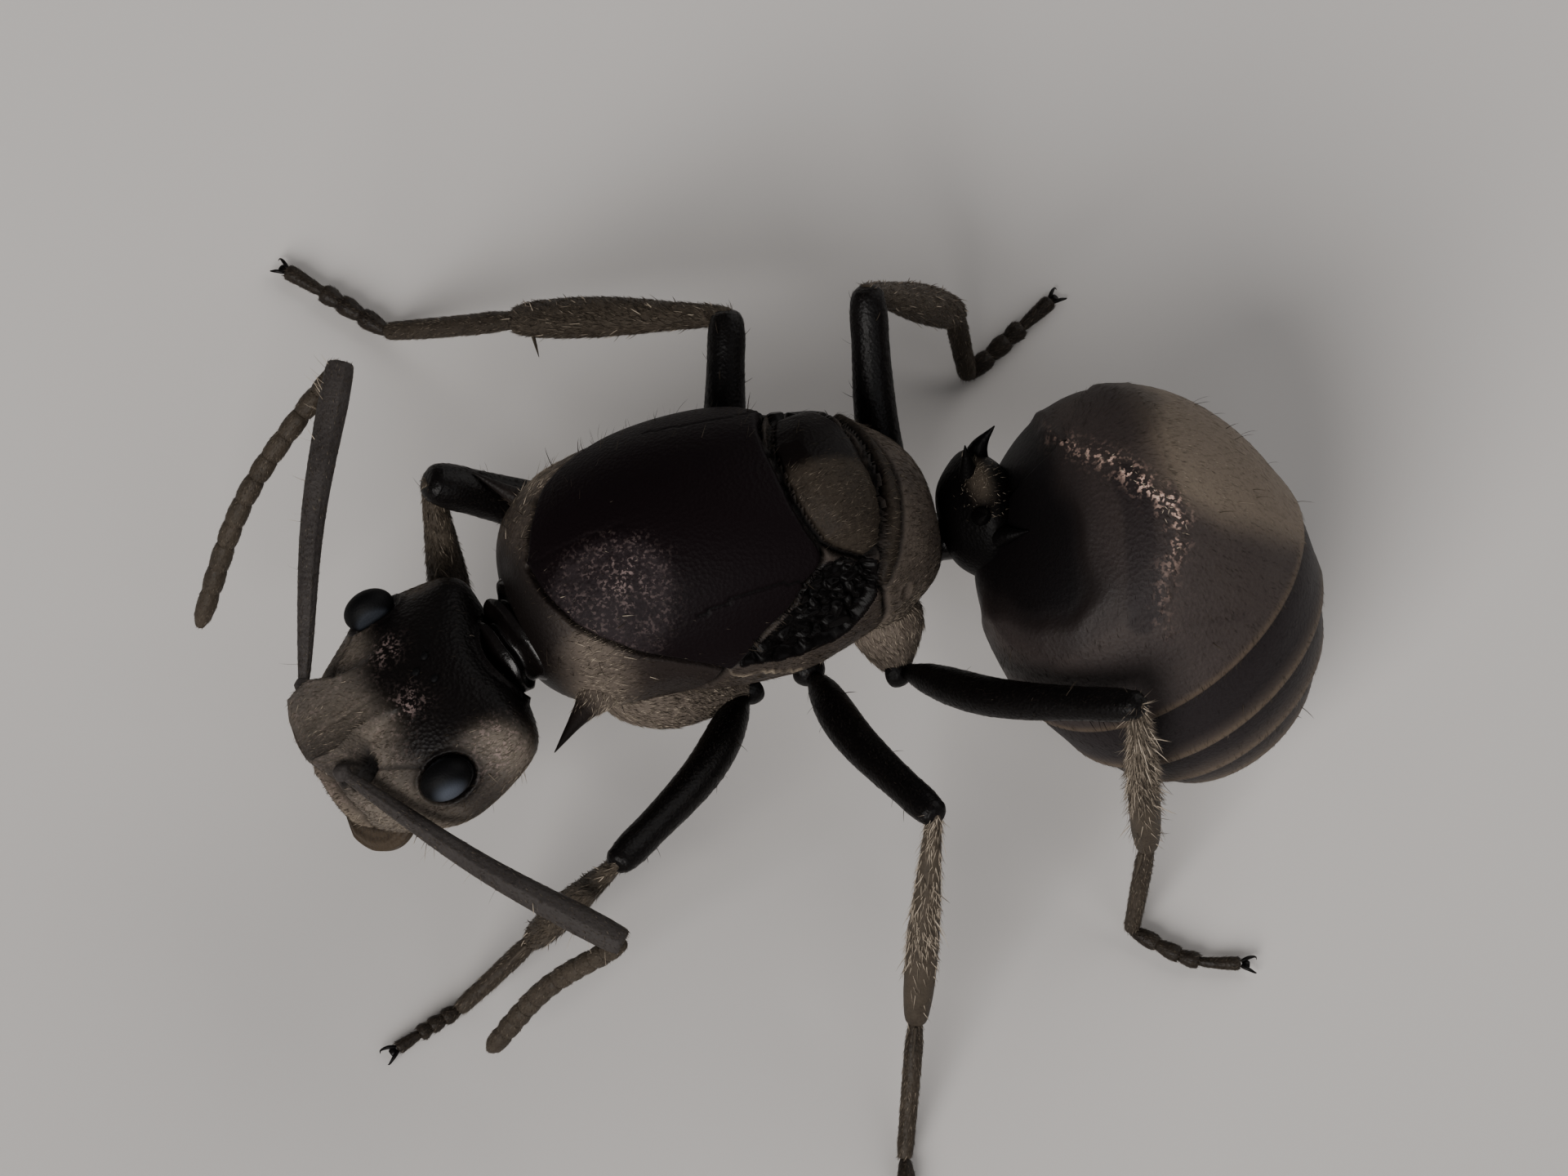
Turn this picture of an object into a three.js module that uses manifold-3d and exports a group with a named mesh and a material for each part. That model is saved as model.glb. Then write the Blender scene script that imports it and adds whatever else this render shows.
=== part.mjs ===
// A spiny ant, a queen that has shed her wings, as a still life-size model.
// Millimetres, +Z up. The head points towards -X and the ant's left side is towards -Y.
// Each body part is a closed solid of its own. Neighbours are parted by a thin clearance.

import * as THREE from 'three';
import { mergeVertices } from 'three/addons/utils/BufferGeometryUtils.js';
import Module from 'manifold-3d';

const wasm = await Module();
wasm.setup();

// ---------------------------------------------------------------- driving dimensions

const GAP = 0.03;                 // clearance between neighbouring pieces
const LIMB = 0.25;                // half of the least thickness of legs and feelers
const BLUNTNESS = 0.2;           // how square the ends of the limbs are, nearer 0 is squarer
const FINEST = 0.013;             // detail finer than this is dropped from the solids

const MESOSOMA = { front: -2.02, rear: 1.93, shift: 0.12, halfWidth: 1.31, middle: 2.72, up: 1.18, down: 1.17 };
const HEAD = {
  centre: [-2.82, -0.48, 2.32], yaw: 11.5, pitch: 27, roll: -10, front: -1.14, back: 0.76, halfWidth: 1.11,
};
const EYE = { at: [-0.03, 0.93, 0.41], half: [0.27, 0.18, 0.25] };
const BROW = { front: -1.1, back: -0.1, halfWidth: 0.45, level: 0.32, up: 0.44, down: 0.3 };
const GASTER = { centre: [3.58, -0.965, 1.9], yaw: -66, pitch: 51, halfLength: 2.0, halfWidth: 1.48 };
const PETIOLE = { at: [2.3, -0.04, 2.2], halfThickness: 0.32, halfWidth: 0.56, up: 0.68, down: 0.52 };

// Where each leg bends: root and hip are the ends of the coxa, then knee, ankle, ball and toe. Bow
// is how far the femur's middle is off the straight line.
const LEGS = {
  left_fore: {
    root: [-1.05, -0.5, 1.75], hip: [-0.25, -0.93, 1.6], knee: [-1.78, -2.38, 2.6],
    ankle: [-2.48, -2.28, 0.75], ball: [-3.23, -2.5, 0.25], toe: [-3.89, -2.71, 0.22], bow: [0.11, -0.16, 0.11],
  },
  left_middle: {
    root: [0.4, -0.45, 1.75], hip: [0.58, -0.98, 1.6], knee: [1.07, -2.83, 2.7],
    ankle: [0.57, -3.95, 0.7], ball: [0.19, -4.94, 0.25], toe: [0.01, -5.87, 0.22], bow: [-0.11, -0.05, 0.13],
  },
  left_hind: {
    root: [1.15, -0.4, 1.8], hip: [1.43, -1.07, 1.6], knee: [3.04, -2.42, 3.2],
    ankle: [2.98, -3.03, 0.95], ball: [2.75, -3.44, 0.25], toe: [3.68, -4.04, 0.22], bow: [-0.08, -0.18, 0.08],
  },
  right_fore: {
    root: [-1.1, 0.45, 1.75], hip: [-0.75, 0.75, 1.55], knee: [-2.36, 1.46, 2.8],
    ankle: [-2.4, 0.35, 0.95], ball: [-2.75, -0.2, 0.25], toe: [-3.2, -0.5, 0.22], bow: [0.02, 0.04, 0.18],
  },
  right_middle: {
    root: [0.1, 0.3, 1.8], hip: [0.22, 0.73, 1.5], knee: [0.64, 2.33, 2.6],
    ankle: [-1.03, 3.44, 0.9], ball: [-2.19, 4.09, 0.25], toe: [-2.97, 5.02, 0.22], bow: [-0.04, 0.01, 0.16],
  },
  right_hind: {
    root: [1.25, 0.2, 1.85], hip: [1.68, 0.45, 1.55], knee: [1.83, 2.0, 3.1],
    ankle: [2.79, 2.41, 0.85], ball: [2.89, 2.17, 0.25], toe: [3.93, 2.73, 0.22], bow: [-0.03, 0.01, 0.16],
  },
};

// Each feeler: its scape ends at the elbow, and its flagellum hangs from there in a bow.
const FEELERS = {
  left: {
    side: -1, elbow: [-1.78, -3.06, 2.3], bow: [-0.07, -0.08, 0.1],
    middle: [-2.5, -3.04, 1.45], tip: [-3.1, -3.12, 0.62],
  },
  right: {
    side: 1, elbow: [-2.79, 2.57, 3.1], bow: [-0.13, -0.03, 0.1],
    middle: [-3.94, 1.9, 2.25], tip: [-4.57, 1.27, 1.1],
  },
};

const BLACK = { color: 0x17130f, roughness: 0.55 };
const PURPLE_BLACK = { color: 0x1f1718, roughness: 0.5 };
const DOWNY_GREY = { color: 0x4a433a, roughness: 0.7 };
const OLIVE_BROWN = { color: 0x574d42, roughness: 0.6 };
const GREY_BROWN = { color: 0x4b433b, roughness: 0.7 };
const EYE_BLACK = { color: 0x0b0c0f, roughness: 0.15 };

// ---------------------------------------------------------------- shaping helpers

const vec = (p) => new THREE.Vector3(...p);
const degrees = THREE.MathUtils.degToRad;
const hump = (t, centre, width) => Math.exp(-(((t - centre) / width) ** 2));

/** Moves every vertex of a geometry to where place(vertex) says. */
function sculpt(geometry, place) {
  const position = geometry.attributes.position;
  const p = new THREE.Vector3();
  for (let i = 0; i < position.count; i += 1) {
    p.fromBufferAttribute(position, i);
    position.setXYZ(i, ...place(p).toArray());
  }
  return geometry;
}

/** Turns a closed geometry into a manifold solid. */
function solidOf(geometry) {
  geometry.deleteAttribute('normal');
  geometry.deleteAttribute('uv');
  const merged = mergeVertices(geometry, 1e-4);
  const corners = merged.index.array;
  const triangles = [];
  for (let i = 0; i < corners.length; i += 3) {
    const [a, b, c] = corners.slice(i, i + 3);
    if (a !== b && b !== c && c !== a) triangles.push(a, b, c);
  }
  return new wasm.Manifold(new wasm.Mesh({
    numProp: 3,
    vertProperties: new Float32Array(merged.attributes.position.array),
    triVerts: new Uint32Array(triangles),
  }));
}

/** Turns a manifold solid back into a three.js geometry. */
function geometryOf(solid) {
  const mesh = solid.getMesh();
  const geometry = new THREE.BufferGeometry();
  geometry.setAttribute('position', new THREE.BufferAttribute(new Float32Array(mesh.vertProperties), 3));
  geometry.setIndex(new THREE.BufferAttribute(new Uint32Array(mesh.triVerts), 1));
  return geometry;
}

/**
 * A rounded body along X from x0 to x1. shape(t) gives its half sizes { side, up, down } and its
 * middle height there. A fullness below 1 makes the ends blunter, and square does so in width only.
 */
function blob(x0, x1, sides, rings, fullness, shape) {
  const place = (p) => {
    const t = (1 - p.y) / 2;
    const { side, up, down, middle, square = fullness } = shape(t);
    const ring = Math.max(Math.hypot(p.x, p.z), 1e-6);
    const width = p.x * ring ** (square - 1) * side;
    const height = p.z * ring ** (fullness - 1) * (p.z > 0 ? up : down);
    return vec([THREE.MathUtils.lerp(x0, x1, t), width, middle + height]);
  };
  return solidOf(sculpt(new THREE.SphereGeometry(1, sides, rings), place));
}

/** A limb of varying thickness, with round ends, along a curve. */
function limb(curve, sides, rings, radius) {
  const frames = curve.computeFrenetFrames(rings * 4, false);
  const place = (p) => {
    const t = (1 - p.y) / 2;
    const ring = Math.max(Math.hypot(p.x, p.z), 1e-6);
    const scale = (radius(t) * ring ** BLUNTNESS) / ring;
    const frame = Math.round(t * rings * 4);
    const point = curve.getPointAt(t);
    point.addScaledVector(frames.normals[frame], p.x * scale);
    return point.addScaledVector(frames.binormals[frame], p.z * scale);
  };
  return solidOf(sculpt(new THREE.SphereGeometry(1, sides, rings), place));
}

/** A curve through a few points. */
function path(...points) {
  return new THREE.CatmullRomCurve3(points.map(vec), false, 'centripetal');
}

/** A point between a and b, moved off the straight line by a bow. */
function between(a, b, t, bow) {
  return vec(a).lerp(vec(b), t).add(vec(bow)).toArray();
}

/** A sharp round tooth from base to tip. */
function tooth(base, tip, radius) {
  const along = vec(tip).sub(vec(base));
  const cone = new THREE.ConeGeometry(radius, along.length(), 6);
  cone.translate(0, along.length() / 2, 0);
  const turn = new THREE.Quaternion().setFromUnitVectors(vec([0, 1, 0]), along.clone().normalize());
  cone.applyQuaternion(turn);
  return solidOf(cone.translate(...base));
}

/** The solid grown by the clearance, to cut a neighbour back with. */
function swollen(solid) {
  const geometry = geometryOf(solid);
  geometry.computeVertexNormals();
  const { position, normal } = geometry.attributes;
  for (let i = 0; i < position.count; i += 1) {
    position.setXYZ(
      i,
      position.getX(i) + normal.getX(i) * GAP,
      position.getY(i) + normal.getY(i) * GAP,
      position.getZ(i) + normal.getZ(i) * GAP,
    );
  }
  return solidOf(geometry);
}

/** A solid's main body, without slivers or needless detail. */
function tidied(solid) {
  return solid.simplify(FINEST).decompose().sort((a, b) => b.volume() - a.volume())[0];
}

/** What is left of a solid clear of its neighbours. */
function fitted(solid, ...neighbours) {
  return tidied(neighbours.reduce((left, other) => left.subtract(swollen(other)), solid));
}

/** Parts a solid by a thin plane cut: the piece on the normal's side, then the other. */
function parted(solid, normal, through) {
  const n = vec(normal).normalize();
  const offset = n.dot(vec(through));
  const ahead = solid.trimByPlane(n.toArray(), offset + GAP / 2);
  const behind = solid.trimByPlane(n.clone().negate().toArray(), -offset + GAP / 2);
  return [tidied(ahead), tidied(behind)];
}

/** The 4 by 4 matrix of a roll, a pitch and a yaw, in that order, about a centre. */
function posture(centre, yaw, pitch, roll) {
  const turn = new THREE.Euler(degrees(roll), degrees(pitch), degrees(yaw), 'ZYX');
  return new THREE.Matrix4().makeRotationFromEuler(turn).setPosition(...centre);
}

function moved(solid, matrix) {
  return solid.transform(matrix.elements);
}

// ---------------------------------------------------------------- the model's tree

const model = new THREE.Group();

/** A group that turns about its own point. */
function groupAt(point) {
  const group = new THREE.Group();
  group.position.copy(vec(point));
  model.add(group);
  return group;
}

/** Adds a solid, made in the model's own frame, to a group as a named mesh. */
function addPiece(group, name, solid, look) {
  const geometry = geometryOf(solid);
  geometry.translate(...group.position.clone().negate().toArray());
  geometry.computeVertexNormals();
  const mesh = new THREE.Mesh(geometry, new THREE.MeshStandardMaterial({ ...look, metalness: 0 }));
  mesh.name = name;
  group.add(mesh);
}

// ---------------------------------------------------------------- head

const headPlace = posture(HEAD.centre, HEAD.yaw, -HEAD.pitch, HEAD.roll);
const skull = blob(HEAD.front, HEAD.back, 18, 14, 0.6, (t) => ({
  side: HEAD.halfWidth * (0.78 + 0.22 * Math.sin(Math.PI * Math.min(0.5, t * 0.9))),
  up: 0.52 + 0.14 * hump(t, 0.6, 0.3),
  down: 0.56 + 0.08 * hump(t, 0.55, 0.3),
  middle: 0,
  square: 0.6 - 0.4 * t,
}));

// Between the feelers the face stands up as a low platform with two sharp edges.
const brow = blob(BROW.front, BROW.back, 14, 8, 0.4, () => ({
  side: BROW.halfWidth,
  up: BROW.up,
  down: BROW.down,
  middle: BROW.level,
}));
const wholeHead = skull.add(brow);

const eyes = [-1, 1].map((side) => moved(
  solidOf(sculpt(new THREE.SphereGeometry(1, 10, 7), (p) => p.multiply(vec(EYE.half)))),
  new THREE.Matrix4().makeTranslation(EYE.at[0], EYE.at[1] * side, EYE.at[2]),
));
const socketed = eyes.reduce((solid, eye) => solid.subtract(swollen(eye)), wholeHead);
const [capsule, clypeus] = parted(socketed, [1, 0, 0.62], [-0.86, 0, 0.0]);

const mandibles = [-1, 1].map((side) => fitted(
  limb(
    path([-0.85, 0.5 * side, -0.3], [-1.2, 0.5 * side, -0.44], [-1.5, 0.2 * side, -0.5]),
    8, 8, (t) => 0.26 - 0.14 * t,
  ),
  wholeHead,
));
const [mandibleLeft, mandibleRight] = mandibles;

const head = groupAt(HEAD.centre);
const headPieces = {
  head_capsule: [capsule, BLACK],
  clypeus: [clypeus, DOWNY_GREY],
  eye_left: [eyes[0], EYE_BLACK],
  eye_right: [eyes[1], EYE_BLACK],
  mandible_left: [mandibleLeft, BLACK],
  mandible_right: [fitted(mandibleRight, mandibleLeft), BLACK],
};
for (const [name, [solid, look]] of Object.entries(headPieces)) {
  addPiece(head, name, moved(solid, headPlace), look);
}
const headSolid = moved(wholeHead.add(eyes[0]).add(eyes[1]), headPlace);

// The neck is a short stalk from the back of the head into the pronotum.
const neckEnd = vec([HEAD.back - 0.3, 0, -0.1]).applyMatrix4(headPlace).toArray();
const neck = fitted(limb(path(neckEnd, [-1.6, 0, 2.62]), 10, 6, () => 0.3), headSolid);
addPiece(head, 'neck', neck, BLACK);

// ---------------------------------------------------------------- mesosoma

const wholeMesosoma = blob(MESOSOMA.front, MESOSOMA.rear, 22, 18, 0.58, (t) => ({
  side: MESOSOMA.halfWidth * (1 - 0.21 * t ** 2),
  up: MESOSOMA.up + 0.07 * hump(t, 0.77, 0.07) - 0.1 * hump(t, 0.88, 0.06),
  down: MESOSOMA.down,
  middle: MESOSOMA.middle - 0.15 * (1 - t) ** 3 - 0.55 * t ** 5,
}));

const mesosoma = fitted(wholeMesosoma.translate([0, MESOSOMA.shift, 0]), headSolid, neck);
const [rearBlock, frontBlock] = parted(mesosoma, [1, 0, -0.3], [1.6, 0, 3.2]);
const [back, flanks] = parted(frontBlock, [0.14, 0, 1], [0, 0, 3.12]);
const [behindScutum, mesoscutum] = parted(back, [1, 0, 0.1], [0.55, 0, 3.5]);
const [metanotum, scutellum] = parted(behindScutum, [1, 0, 0.2], [1.31, 0, 3.4]);
const [pleura, pronotumBlock] = parted(flanks, [1, 0, -0.42], [-0.6, 0, 2.2]);
const [pleuronRight, pleuronLeft] = parted(pleura, [0, 1, 0], [0, MESOSOMA.shift, 0]);

const pronotum = [-1, 1].reduce(
  (solid, side) => solid.add(tooth([-1.4, 0.86 * side, 2.6], [-1.97, 1.38 * side, 2.78], 0.18)),
  pronotumBlock,
);

const thorax = groupAt([0, 0, MESOSOMA.middle]);
addPiece(thorax, 'pronotum', tidied(pronotum), DOWNY_GREY);
addPiece(thorax, 'mesoscutum', mesoscutum, PURPLE_BLACK);
addPiece(thorax, 'scutellum', scutellum, PURPLE_BLACK);
addPiece(thorax, 'metanotum', metanotum, BLACK);
addPiece(thorax, 'propodeum', rearBlock, DOWNY_GREY);
addPiece(thorax, 'pleuron_left', pleuronLeft, DOWNY_GREY);
addPiece(thorax, 'pleuron_right', pleuronRight, DOWNY_GREY);

// ---------------------------------------------------------------- feelers

for (const [name, feeler] of Object.entries(FEELERS)) {
  const socket = vec([-0.75, 0.48 * feeler.side, 0.66]).applyMatrix4(headPlace).toArray();
  const bowed = between(socket, feeler.elbow, 0.45, feeler.bow);
  const scape = fitted(limb(path(socket, bowed, feeler.elbow), 8, 8, () => LIMB), headSolid);
  const whip = limb(path(feeler.elbow, feeler.middle, feeler.tip), 8, 9, () => LIMB);
  const group = groupAt(feeler.elbow);
  addPiece(group, `scape_${name}`, scape, GREY_BROWN);
  addPiece(group, `flagellum_${name}`, fitted(whip, scape), GREY_BROWN);
}

// ---------------------------------------------------------------- petiole

const [px, py, pz] = PETIOLE.at;
const petioleScale = blob(px - PETIOLE.halfThickness, px + PETIOLE.halfThickness, 14, 10, 0.5, (t) => ({
  side: PETIOLE.halfWidth * (0.8 + 0.2 * hump(t, 0.5, 0.3)),
  up: PETIOLE.up * (0.75 + 0.25 * hump(t, 0.6, 0.3)),
  down: PETIOLE.down,
  middle: pz,
}));
const teeth = [-1, 1].flatMap((side) => [
  tooth([px + 0.05, py + 0.18 * side, pz + 0.5], [px + 0.06, py + 0.36 * side, pz + 0.95], 0.11),
  tooth([px + 0.12, py + 0.36 * side, pz + 0.35], [px + 0.4, py + 0.56 * side, pz + 0.75], 0.15),
]);
const petiole = fitted(teeth.reduce((solid, spike) => solid.add(spike), petioleScale), mesosoma);
addPiece(groupAt(PETIOLE.at), 'petiole', petiole, BLACK);

// ---------------------------------------------------------------- gaster

const gasterPlace = posture(GASTER.centre, GASTER.yaw, GASTER.pitch, 0);
const frontFace = vec([-0.62, 0.14, 0.77]).normalize();
const wholeGaster = fitted(
  solidOf(sculpt(
    new THREE.SphereGeometry(1, 20, 16).rotateZ(Math.PI / 2),
    (p) => {
      const taper = 1 - 0.1 * Math.max(0, p.x) ** 2;
      p.multiply(vec([GASTER.halfLength, GASTER.halfWidth * taper, GASTER.halfWidth * taper]));
      p.applyMatrix4(gasterPlace);
      const reach = p.clone().sub(vec(GASTER.centre)).dot(frontFace);
      const excess = Math.max(0, reach - 1.15);
      return p.addScaledVector(frontFace, -0.6 * excess);
    },
  )),
  petiole,
);

// The tergites' rims are tilted planes, each further back along the gaster.
const rimNormal = vec([0.42, -0.49, -0.76]).normalize();
const rimDistances = [0.15, 0.8, 1.25, 1.6];
const gaster = groupAt(GASTER.centre);
let remaining = wholeGaster;
rimDistances.forEach((distance, i) => {
  const rim = vec(GASTER.centre).addScaledVector(rimNormal, distance).toArray();
  const [ahead, behind] = parted(remaining, rimNormal.toArray(), rim);
  addPiece(gaster, `gaster_segment_${i + 1}`, behind, OLIVE_BROWN);
  remaining = ahead;
});
addPiece(gaster, 'gaster_segment_5', remaining, BLACK);

// ---------------------------------------------------------------- legs

for (const [name, leg] of Object.entries(LEGS)) {
  const coxa = fitted(limb(path(leg.root, leg.hip), 8, 6, (t) => 0.36 - 0.09 * t), mesosoma);
  const thigh = path(leg.hip, between(leg.hip, leg.knee, 0.5, leg.bow), leg.knee);
  const femur = fitted(limb(thigh, 8, 8, (t) => LIMB + 0.03 * hump(t, 0.4, 0.3)), coxa, mesosoma);
  const shin = path(leg.knee, between(leg.knee, leg.ankle, 0.5, [0, 0, 0.04]), leg.ankle);
  const tibia = fitted(limb(shin, 8, 7, () => LIMB), femur);
  const metatarsus = fitted(limb(path(leg.ankle, leg.ball), 8, 6, () => LIMB), tibia);
  const foot = fitted(limb(path(leg.ball, leg.toe), 8, 6, () => LIMB), metatarsus);
  const group = groupAt(leg.hip);
  addPiece(group, `${name}_coxa`, coxa, BLACK);
  addPiece(group, `${name}_femur`, femur, BLACK);
  addPiece(group, `${name}_tibia`, tibia, GREY_BROWN);
  addPiece(group, `${name}_basitarsus`, metatarsus.trimByPlane([0, 0, 1], 0), GREY_BROWN);
  addPiece(group, `${name}_tarsus_tip`, foot.trimByPlane([0, 0, 1], 0), GREY_BROWN);
}

// The origin is under the middle of the whole model, at the level of the soles.
model.updateMatrixWorld(true);
const middle = new THREE.Box3().setFromObject(model, true).getCenter(new THREE.Vector3());
model.position.set(-middle.x, -middle.y, 0);

export default model;
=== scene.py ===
import math

import bpy
import numpy as np
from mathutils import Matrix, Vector
from mathutils.kdtree import KDTree


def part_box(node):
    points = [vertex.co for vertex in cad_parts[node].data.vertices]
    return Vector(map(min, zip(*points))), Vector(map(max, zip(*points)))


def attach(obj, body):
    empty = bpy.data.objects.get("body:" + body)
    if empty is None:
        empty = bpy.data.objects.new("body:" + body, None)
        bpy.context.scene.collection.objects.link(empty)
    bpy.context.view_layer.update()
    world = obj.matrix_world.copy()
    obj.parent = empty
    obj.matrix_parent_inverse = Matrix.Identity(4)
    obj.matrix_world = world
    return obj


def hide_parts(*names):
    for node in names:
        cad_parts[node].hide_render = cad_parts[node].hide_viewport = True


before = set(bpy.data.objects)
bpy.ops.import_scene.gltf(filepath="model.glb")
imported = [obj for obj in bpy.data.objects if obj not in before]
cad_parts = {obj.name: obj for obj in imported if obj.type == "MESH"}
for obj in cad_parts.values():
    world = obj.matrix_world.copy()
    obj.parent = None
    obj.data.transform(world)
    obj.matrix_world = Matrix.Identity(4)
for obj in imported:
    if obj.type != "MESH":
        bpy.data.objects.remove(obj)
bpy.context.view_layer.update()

# ---------------------------------------------------------------- floor, light and camera
# The model stands on a plain pale floor under a soft lamp at its left front, with two weaker ones.
# The camera looks down on its left side through a long lens. None of this is the object.

MM = 0.001
VIEW = {"azimuth": -16, "elevation": 68, "distance": 60, "lens": 157.5}
AIM = Vector((0.198, -0.002, 2.643))
FLOOR_HALF = 1500
LIGHTS = {
    # name: (direction it comes from, strength, angle it fills in degrees, colour)
    "key_light": ((-0.55, -0.62, 0.56), 3.4, 38, (1.0, 0.97, 0.94)),
    "side_light": ((0.25, -0.75, 0.6), 0.5, 40, (0.98, 0.98, 1.0)),
    "back_light": ((0.75, 0.35, 0.5), 1.3, 60, (1.0, 0.97, 0.94)),
}


class Link:
    """A socket of a shader, on which sums, products and powers add Math nodes."""

    def __init__(self, shader, socket):
        self.shader, self.socket = shader, socket

    def math(self, operation, *values):
        return self.shader.node("ShaderNodeMath", {"operation": operation}, *values)

    def __add__(self, other): return self.math("ADD", self, other)
    def __radd__(self, other): return self.math("ADD", other, self)
    def __sub__(self, other): return self.math("SUBTRACT", self, other)
    def __rsub__(self, other): return self.math("SUBTRACT", other, self)
    def __mul__(self, other): return self.math("MULTIPLY", self, other)
    def __rmul__(self, other): return self.math("MULTIPLY", other, self)
    def __truediv__(self, other): return self.math("DIVIDE", self, other)
    def __rtruediv__(self, other): return self.math("DIVIDE", other, self)
    def __pow__(self, other): return self.math("POWER", self, other)

    def between(self, low, high):
        """0 below low, 1 above high, and smooth from one to the other."""
        settings = {"interpolation_type": "SMOOTHSTEP"}
        return self.shader.node("ShaderNodeMapRange", settings, self, low, high, 0.0, 1.0)


class Shader:
    """A material whose nodes come from one method, node()."""

    def __init__(self, name, **sockets):
        self.material = bpy.data.materials.new(name)
        self.material.use_nodes = True
        self.tree = self.material.node_tree
        self.surface = self.tree.nodes["Principled BSDF"]
        for key, value in sockets.items():
            self.put(self.surface.inputs[key.replace("_", " ")], value)

    def put(self, socket, value):
        if isinstance(value, Link):
            self.tree.links.new(value.socket, socket)
        elif isinstance(value, tuple) and socket.type == "RGBA":
            socket.default_value = (*value, 1.0)
        else:
            socket.default_value = value

    def node(self, kind, settings, *values, output=0, places=None, **named):
        """A node with its settings and its sockets' values, in order, by place or by name."""
        node = self.tree.nodes.new(kind)
        for key, value in settings.items():
            setattr(node, key, value)
        for place, value in [*enumerate(values), *(places or {}).items()]:
            self.put(node.inputs[place], value)
        for key, value in named.items():
            self.put(node.inputs[key.replace("_", " ")], value)
        return Link(self, node.outputs[output])

    def set(self, **sockets):
        for key, value in sockets.items():
            self.put(self.surface.inputs[key.replace("_", " ")], value)

    def place(self):
        """Where a point is, in millimetres."""
        here = self.node("ShaderNodeTexCoord", {}, output="Object")
        return self.node("ShaderNodeVectorMath", {"operation": "SCALE"}, here, Scale=1 / MM)

    def noise(self, place, size, detail=3.0, roughness=0.55):
        """Soft noise from 0 to 1 whose spots are about size millimetres wide."""
        return self.node(
            "ShaderNodeTexNoise", {}, Vector=place, Scale=1 / size, Detail=detail, Roughness=roughness
        )

    def cells(self, place, size):
        """Distance from the middle of grains about size millimetres wide."""
        return self.node("ShaderNodeTexVoronoi", {}, Vector=place, Scale=1 / size, output="Distance")

    def flecks(self, place, size):
        """Ragged flecks about size millimetres wide, in loose clumps."""
        clumps = self.noise(place, 2.6 * size, 2.0).between(0.38, 0.62)
        return self.noise(place, size, 2.0).between(0.49, 0.6) * clumps

    def mix(self, share, first, second):
        """first where share is 0 and second where it is 1, as colours."""
        colours = {6: first, 7: second}
        return self.node("ShaderNodeMix", {"data_type": "RGBA"}, share, output=2, places=colours)

    def bump(self, height, depth):
        """A bump whose height of 1 is depth millimetres."""
        return self.node("ShaderNodeBump", {}, Height=height, Distance=depth * MM, Strength=1.0)

    def marked(self, name):
        """The value that a mesh carries under this name."""
        return self.node("ShaderNodeAttribute", {"attribute_name": name}, output="Fac")


def linear(hex_colour):
    """The linear colour of a hex triplet."""
    parts = [int(hex_colour[i:i + 2], 16) / 255 for i in (0, 2, 4)]
    return tuple(c / 12.92 if c <= 0.04045 else ((c + 0.055) / 1.055) ** 2.4 for c in parts)


def toward(azimuth, elevation):
    """The direction from the model to a viewer at this azimuth and elevation."""
    az, el = math.radians(azimuth), math.radians(elevation)
    return Vector((math.sin(az) * math.cos(el), -math.cos(az) * math.cos(el), math.sin(el)))


def linked(name, data):
    """A new object in the scene."""
    thing = bpy.data.objects.new(name, data)
    bpy.context.scene.collection.objects.link(thing)
    return thing


floor_mesh = bpy.data.meshes.new("floor")
corners = [(-FLOOR_HALF, -FLOOR_HALF, 0), (FLOOR_HALF, -FLOOR_HALF, 0),
           (FLOOR_HALF, FLOOR_HALF, 0), (-FLOOR_HALF, FLOOR_HALF, 0)]
floor_mesh.from_pydata([Vector(corner) * MM for corner in corners], [], [(0, 1, 2, 3)])
floor = linked("floor", floor_mesh)
paper = Shader("pale_paper", Base_Color=(0.56, 0.54, 0.525), Roughness=0.9, Specular_IOR_Level=0.1)
floor_mesh.materials.append(paper.material)

for name, (source, strength, angle, colour) in LIGHTS.items():
    lamp = bpy.data.lights.new(name, "SUN")
    lamp.energy = strength
    lamp.angle = math.radians(angle)
    lamp.color = colour
    light = linked(name, lamp)
    light.rotation_euler = Vector(source).to_track_quat("Z", "Y").to_euler()

world = bpy.data.worlds.new("studio")
bpy.context.scene.world = world
world.use_nodes = True
world.node_tree.nodes["Background"].inputs["Color"].default_value = (0.56, 0.56, 0.57, 1)
world.node_tree.nodes["Background"].inputs["Strength"].default_value = 0.22

lens = bpy.data.cameras.new("camera")
lens.lens = VIEW["lens"]
lens.clip_start = MM
camera = linked("camera", lens)
sight = toward(VIEW["azimuth"], VIEW["elevation"])
camera.location = (AIM + sight * VIEW["distance"]) * MM
camera.rotation_euler = sight.to_track_quat("Z", "Y").to_euler()
bpy.context.scene.camera = camera

# ---------------------------------------------------------------- mesosoma
# The middle body is a hard case of black plates: the pronotum with two spines in front, the domed
# scutum, the scutellum, the narrow metanotum and the propodeum above, and the pleura at the sides.
# The plates meet at sunk seams. Short grey-gold down lies on them, thin on the scutum.


def box_of(*nodes):
    """The lowest and highest corners of some nodes together, in millimetres."""
    boxes = [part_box(node) for node in nodes]
    low = np.min([np.array(low) for low, _ in boxes], axis=0)
    high = np.max([np.array(high) for _, high in boxes], axis=0)
    return low / MM, high / MM


def smooth(values, low, high):
    """0 below low, 1 above high, and smooth from one to the other."""
    t = np.clip((values - low) / (high - low), 0, 1)
    return t * t * (3 - 2 * t)


def hump(values, centre, width):
    """1 at the centre, falling off within the width."""
    return np.exp(-(((values - centre) / width) ** 2))


def unit(vectors):
    """The vectors at a length of one."""
    return vectors / np.maximum(np.linalg.norm(vectors, axis=-1, keepdims=True), 1e-12)


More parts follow.
